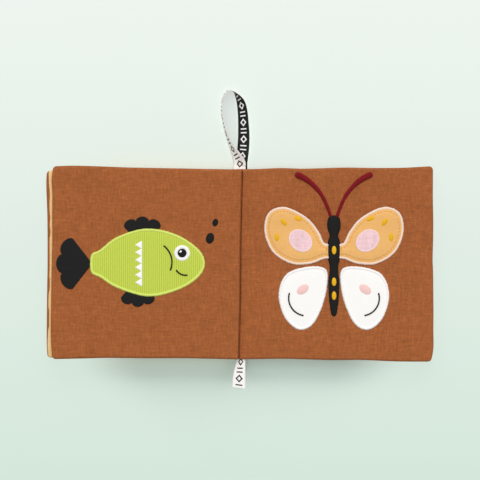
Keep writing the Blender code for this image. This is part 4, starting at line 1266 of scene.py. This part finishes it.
def tip_lift(flat):
    """How far the flap stands off the page: 0 in its lower half, then a smooth rise to its tip."""
    share = np.clip((flat[..., 1] - LIFT_START_Y) / LIFT_REACH, 0, 1)
    return TIP_LIFT * share**2 * (3 - 2 * share)


def rim_base(flat):
    """The foot of a flap's satin edge."""
    return WING_Z + tip_lift(flat) + 0.1 * MM


# %% Padded flaps
QUILT_LINE = WING_EDGE_WIDTH + 1.5 * MM
CROWN_REACH = 3.2 * MM
PUCKER_CENTRE = (33 * MM, 22 * MM)
PUCKER_RATES = (23, 31, 41)
SEED_RADII = (1.9 * MM, 3.6 * MM)
UPPER_SEEDS = ((0.44, 0.80, radians(-68)), (0.68, 0.74, radians(-38)), (0.79, 0.48, radians(5)))


def pad_heights(side, outline):
    """The top and bottom of a flap. The top is rounded at the edge and crowned inside it, with a groove
    along the row of stitches, and puckers about it."""
    shifts = np.random.default_rng(31).uniform(0, 2 * pi, 3)

    def near_stitches(edge, width):
        return np.exp(-(((edge - QUILT_LINE) / width) ** 2))

    def top(flat, edge=None):
        edge = distance_to(flat, outline)
        crown = 1 - np.exp(-np.clip(edge - WING_EDGE_WIDTH, 0, None) / CROWN_REACH)
        out_by = (flat[..., 0] - BUTTERFLY_X) * side - PUCKER_CENTRE[0]
        turn = np.arctan2(flat[..., 1] - PUCKER_CENTRE[1], out_by)
        puckers = sum(np.sin(rate * turn + shift) for rate, shift in zip(PUCKER_RATES, shifts)) / 3
        dents = 0.10 * puckers * near_stitches(edge, 2.2 * MM) - 0.34 * near_stitches(edge, 0.45 * MM)
        rise = 0.95 * rounded(edge, 1.2 * MM) + 1.30 * crown + dents
        return WING_Z + tip_lift(flat) + MM * np.clip(rise, 0, 2.25)

    def bottom(flat, edge):
        return WING_Z + tip_lift(flat) - 0.15 * MM * rounded(edge, 1.2 * MM)

    return top, bottom


def mustard_oval(centre, turn, base, height):
    """The surface of one mustard seed."""
    return satin_oval(centre, *SEED_RADII, turn, base, height)


def make_upper_wing(word, side):
    """The pad, its satin edge and running stitches, and their trim."""
    wing, body = f"upper_wing_{word}", word + "_wing"
    place = beside_body(side, UPPER_FRAME)
    outline = wing_outline(UPPER_WING_OUTLINE, side, place)
    pad_top, pad_bottom = pad_heights(side, outline)
    surface = patch(moved_inwards(outline, 0.4 * MM), place(0.45, 0.5), pad_top, pad_bottom, 56)
    pad = make_piece(wing + "_pad", surface, ORANGE, replaced=[wing])
    surface = satin_edge(outline, WING_EDGE_WIDTH, rim_base, 1.15 * MM, 23)
    satin_rim = make_piece(wing + "_satin_edge", surface, PALE_THREAD, replaced=[wing + "_border"])
    surface = dashes(moved_inwards(outline, QUILT_LINE), 0.22 * MM, pad_top)
    running = make_piece(wing + "_running_stitches", surface, ORANGE_THREAD)
    for piece in (pad, satin_rim, running):
        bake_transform(piece)

    centre = place(0.40, 0.42)
    patch_edge = oval(centre, 10.5 * MM, 8.5 * MM, side * radians(40), 200)
    surface = patch(
        moved_inwards(patch_edge, 0.5 * MM),
        centre,
        lambda flat, edge: pad_top(flat) + 0.35 * MM * rounded(edge, 1 * MM),
        above(pad_top, -0.2 * MM),
        20,
    )
    pink = make_piece(wing + "_pink_cloth", surface, PINK, body, [wing + "_patch"])
    laid(patch_edge)
    surface = satin_edge(patch_edge, 1.3 * MM, above(pad_top, -0.05 * MM), 0.6 * MM, 24)
    make_piece(wing + "_pink_edge", surface, ROSE_THREAD, body)
    for number, (x, y, turn) in enumerate(UPPER_SEEDS, 1):
        surface = mustard_oval(place(x, y), side * turn, above(pad_top, -0.05 * MM), 0.75 * MM)
        make_stitches(f"wing_seed_{word}_{number}", surface, MUSTARD_THREAD, body)


for word, side in (("left", -1), ("right", 1)):
    make_upper_wing(word, side)
print("Upper wings done")

# %% White lower wings
def make_lower_wing(word, side):
    """The white patch, its satin edge, a pink oval and a black line."""
    wing = f"lower_wing_{word}"
    place = beside_body(side, LOWER_FRAME)
    outline = wing_outline(LOWER_WING_OUTLINE, side, place)
    top = crowned(RIGHT_TOP, outline, 0.68, 4.5 * MM)
    bottom = level(RIGHT_TOP - UNDERSIDE)
    surface = patch(moved_inwards(outline, EDGE_TUCK), place(0.5, -0.45), top, bottom, 30)
    white = make_piece(wing + "_cloth", surface, WHITE, "base", [wing])
    laid(outline)
    surface = satin_edge(outline, EDGE_WIDTH, level(RIGHT_TOP), EDGE_HEIGHT, 25)
    make_piece(wing + "_satin_edge", surface, WHITE_THREAD, "base", [wing + "_border"])
    surface = satin_oval(place(0.50, -0.36), 5.5 * MM, 3.6 * MM, side * radians(-35), top, 0.6 * MM)
    make_stitches(wing + "_oval", surface, BLUSH_THREAD, "base")
    first, last = radians(-82), radians(18)
    if side < 0:
        first, last = pi - first, pi - last
    surface = line(place(0.43, -0.50), 14.5 * MM, first, last, top)
    make_stitches(wing + "_line", surface, BLACK_THREAD, "base")


for word, side in (("left", -1), ("right", 1)):
    make_lower_wing(word, side)
print("Lower wings done")

# %% [markdown]
# ## The butterfly's body and feelers
# Both are narrow padded tubes sewn flat to the page, so their section is half an ellipse. The body's
# half width and height follow a profile along its length, and thread is wound across it. The feelers
# are dark red cloth, and the section is carried along a curve.

# %% A padded tube along a curve
def padded_tube(path, halves, height, around):
    """A tube sewn flat: across it x is half cos(t) and z is height (half / widest)^0.5 sin(t)^0.8."""
    t = np.linspace(0, pi, around)
    side = sideways(directions(path, False))
    flat = path[:, None] + side[:, None] * (halves[:, None] * np.cos(t)[None])[..., None]
    swell = np.sqrt(halves / halves.max()) * height
    upper = raised(flat, RIGHT_TOP + swell[:, None] * np.sin(t)[None] ** 0.8)
    lower = raised(flat, np.full(flat.shape[:2], RIGHT_TOP - UNDERSIDE))
    uv = np.stack(np.meshgrid(lengths_along(path), t * 3 * MM, indexing="ij"), axis=-1)
    walls = side_walls(upper, lower) + end_walls(upper, lower)
    return joined([grid(upper, uv), grid(lower, uv)] + walls)


# %% The body
BODY_LENGTH = 84 * MM
BODY_BOTTOM = -44 * MM
BODY_HALF = 5.6 * MM
BODY_HEIGHT = 2.5 * MM
BODY_STEPS = 260
BODY_SEGMENTS = (0.10, 0.18, 0.26, 0.42)
BODY_SEEDS = (-26.6 * MM, -15.12 * MM, 11.12 * MM)
BODY_PROFILE = (
    (0.00, 0.36), (0.10, 0.60), (0.18, 0.74), (0.34, 0.82), (0.48, 0.64), (0.58, 0.92), (0.66, 1.00),
    (0.74, 0.90), (0.80, 0.64), (0.86, 0.92), (0.92, 1.00), (1.00, 0.80),
)
profile = smooth_route(BODY_PROFILE, 300)
share = np.linspace(0, 1, BODY_STEPS)
body_y = BODY_BOTTOM + share * BODY_LENGTH
halves = BODY_HALF * np.interp(share, profile[:, 0], profile[:, 1])
halves = halves * round_ends(share * BODY_LENGTH, 3.2 * MM)
segments = sum(np.exp(-(((share - at) / 0.008) ** 2)) for at in BODY_SEGMENTS)
path = np.stack([np.full(BODY_STEPS, BUTTERFLY_X), body_y], axis=1)
surface = padded_tube(path, halves * (1 - 0.07 * segments), BODY_HEIGHT, 25)
body = make_piece("butterfly_body_pad", surface, BLACK_THREAD, "base", ["butterfly_body"])


def seed_base(flat):
    """The height of the seeds' foot, a little in the body's ridge."""
    half = np.interp(flat[..., 1], body_y, halves)
    across = np.clip((flat[..., 0] - BUTTERFLY_X) / half, -1, 1)
    ridge = BODY_HEIGHT * np.sqrt(half / halves.max()) * np.sqrt(1 - across**2) ** 0.8
    return RIGHT_TOP + ridge - 0.1 * MM


for number, y in enumerate(BODY_SEEDS, 1):
    surface = mustard_oval((BUTTERFLY_X, y), 0, seed_base, 0.7 * MM)
    make_stitches(f"body_seed_{number}", surface, MUSTARD_THREAD, "base")

# %% The feelers
FEELER_ROUTE = (
    (0.00, 0.00), (0.10, 0.22), (0.24, 0.46), (0.42, 0.66), (0.62, 0.82), (0.82, 0.93), (1.00, 1.00),
)
FEELER_WIDTHS = (0.55, 0.55, 0.60, 0.68, 0.80, 1.00, 1.05)
FEELER_SIZE = (27, 33)
FEELER_FOOT_Y = 40.6 * MM
FEELER_HALF = 2.4 * MM
for word, side in (("left", -1), ("right", 1)):
    foot = np.array((BUTTERFLY_X + side * 0.55 * BODY_HALF, FEELER_FOOT_Y))
    reach = np.array((side, 1)) * FEELER_SIZE * MM
    route = smooth_route([foot + reach * point for point in FEELER_ROUTE], 160)
    onwards = route[-1] + (route[-1] - route[-2]) * np.linspace(0, 1, 10)[1:, None] * 11
    backwards = route[0] - (route[1] - route[0]) * np.linspace(1, 0, 10)[:-1, None] * 9
    path = np.vstack([backwards, route, onwards])
    walked = lengths_along(path)
    widths = np.interp(walked / walked[-1], np.linspace(0, 1, 7), FEELER_WIDTHS)
    scatter = np.random.default_rng(40 + side).normal(0, 1, len(path))
    creases = np.convolve(scatter, np.ones(9) / 9, "same")
    halves = FEELER_HALF * widths * (1 + 0.10 * creases) * round_ends(walked, 2.2 * MM)
    surface = padded_tube(path, halves, 2.4 * MM, 15)
    feeler = make_piece(f"feeler_{word}", surface, RED, "base", [f"antenna_{word}"])
print("Butterfly done")

# %% [markdown]
# ## The floor and the light
# The book lies on a pale mint floor that is lighter towards the back. A wide soft light stands behind
# the book, and the rest comes evenly from all around. The photo's shadow is much longer than such a
# thin book throws in that light, so low lamps of their own light the floor, each from three sides for
# soft ends. Light linking keeps them off the cloth, where they would draw every thread too sharply. It
# also lets the lowest one see only the right page, which lies lower and would throw the shorter shadow.
# The photo's shadow is greener than the floor beside it, so the low lamps are a little red, and the
# floor's own colour is divided by the colour of all its light.
#
# That shadow also fades towards both ends of the book, and sooner further away from it. No lamp does
# that under a straight edge. So away from the middle a share of the floor's colour shines by itself,
# at strength 1. That is as much as all the lamps together give, so the floor stays even, and only the
# shadow on it grows paler.

# %% The floor
SKY_LIGHT = 0.43
LOW_TINT = np.array((1.09, 0.93, 0.98))
FLOOR_LIGHT = SKY_LIGHT + (1 - SKY_LIGHT) * LOW_TINT
FULL_SHADOW = 80 * MM
LEAST_SHADOW = 141 * MM
MOST_GLOW = 0.85
FADE_START_Y = -86 * MM
FLOOR_SIZE = 8
DARK_MINT_Y = -0.18
MINT_DEPTH = 0.40
floor_finish = Finish("floor", Roughness=1.0, Specular_IOR_Level=0.0, Emission_Strength=1.0)
floor_x, floor_y, _ = floor_finish.place()
towards_back = (floor_y - DARK_MINT_Y) / MINT_DEPTH
mint = floor_finish.blend(towards_back, paint(213, 231, 219), paint(238, 245, 239))
from_middle = abs(floor_x) + 0.9 * (FADE_START_Y - floor_y).most(0)
glow = floor_finish.node(
    "MapRange",
    {"interpolation_type": "SMOOTHSTEP"},
    {"Value": from_middle, "From Min": FULL_SHADOW, "From Max": LEAST_SHADOW, "To Max": MOST_GLOW},
)
evened = floor_finish.node("VectorMath", {"operation": "DIVIDE"}, {0: mint, 1: FLOOR_LIGHT})
floor_finish.colour(floor_finish.shade(evened, 1 - glow))
floor_finish.feed(floor_finish.shader.inputs["Emission Color"], floor_finish.shade(mint, glow))
floor_finish.material.cycles.emission_sampling = "NONE"
bpy.ops.mesh.primitive_plane_add(size=FLOOR_SIZE)
floor = bpy.context.object
floor.name = "floor"
floor.data.materials.append(floor_finish.material)

# %% The sky and the lamps
world = bpy.data.worlds.new("world")
bpy.context.scene.world = world
world.use_nodes = True
background = world.node_tree.nodes["Background"]
background.inputs["Color"].default_value = (1, 1, 1, 1)
background.inputs["Strength"].default_value = SKY_LIGHT


def linked(name, state, items):
    """A light-linking collection: each of its items is taken in (INCLUDE), or left out (EXCLUDE)."""
    group = bpy.data.collections.new(name)
    for number, item in enumerate(items):
        group.objects.link(item)
        group.collection_objects[number].light_linking.link_state = state
    return group


def sun(name, share, tilt, spread, floor_state, turn=0):
    """A sun tilted from straight above towards +Y, then turned about the vertical. Lying cloth gets
    share, so its energy is pi share / cos(tilt). It lights the floor alone, or all but the floor."""
    lamp = bpy.data.lights.new(name, "SUN")
    lamp.energy = pi * share / cos(radians(tilt))
    lamp.angle = radians(spread)
    light = bpy.data.objects.new(name, lamp)
    light.rotation_euler = (radians(-tilt), 0, radians(turn))
    bpy.context.scene.collection.objects.link(light)
    light.light_linking.receiver_collection = linked(name + "_receivers", floor_state, [floor])
    return light


sun("window", 1 - SKY_LIGHT, 30, 50, "EXCLUDE")
tapes = (loop, tag)
back_cover = [bpy.data.objects[f"back_cover_{part}_cloth_sewn"] for part in ("inner", "outer")]
LOW_LAMPS = (
    ("low_window", 0.15, 73, 32, linked("all_but_tapes", "EXCLUDE", tapes)),
    ("low_window_left", 0.18, 73, 28, linked("left_pages", "EXCLUDE", (*tapes, *back_cover))),
    ("low_window_right", 0.24, 80.5, 11, linked("right_page", "INCLUDE", back_cover)),
)
for name, share, tilt, spread, blockers in LOW_LAMPS:
    for number, turn in enumerate((30, 0, -30)):
        light = sun(f"{name}_{number}", share / 3, tilt, spread, "INCLUDE", turn)
        light.data.color = LOW_TINT
        light.light_linking.blocker_collection = blockers
bpy.context.scene.view_settings.view_transform = "Standard"
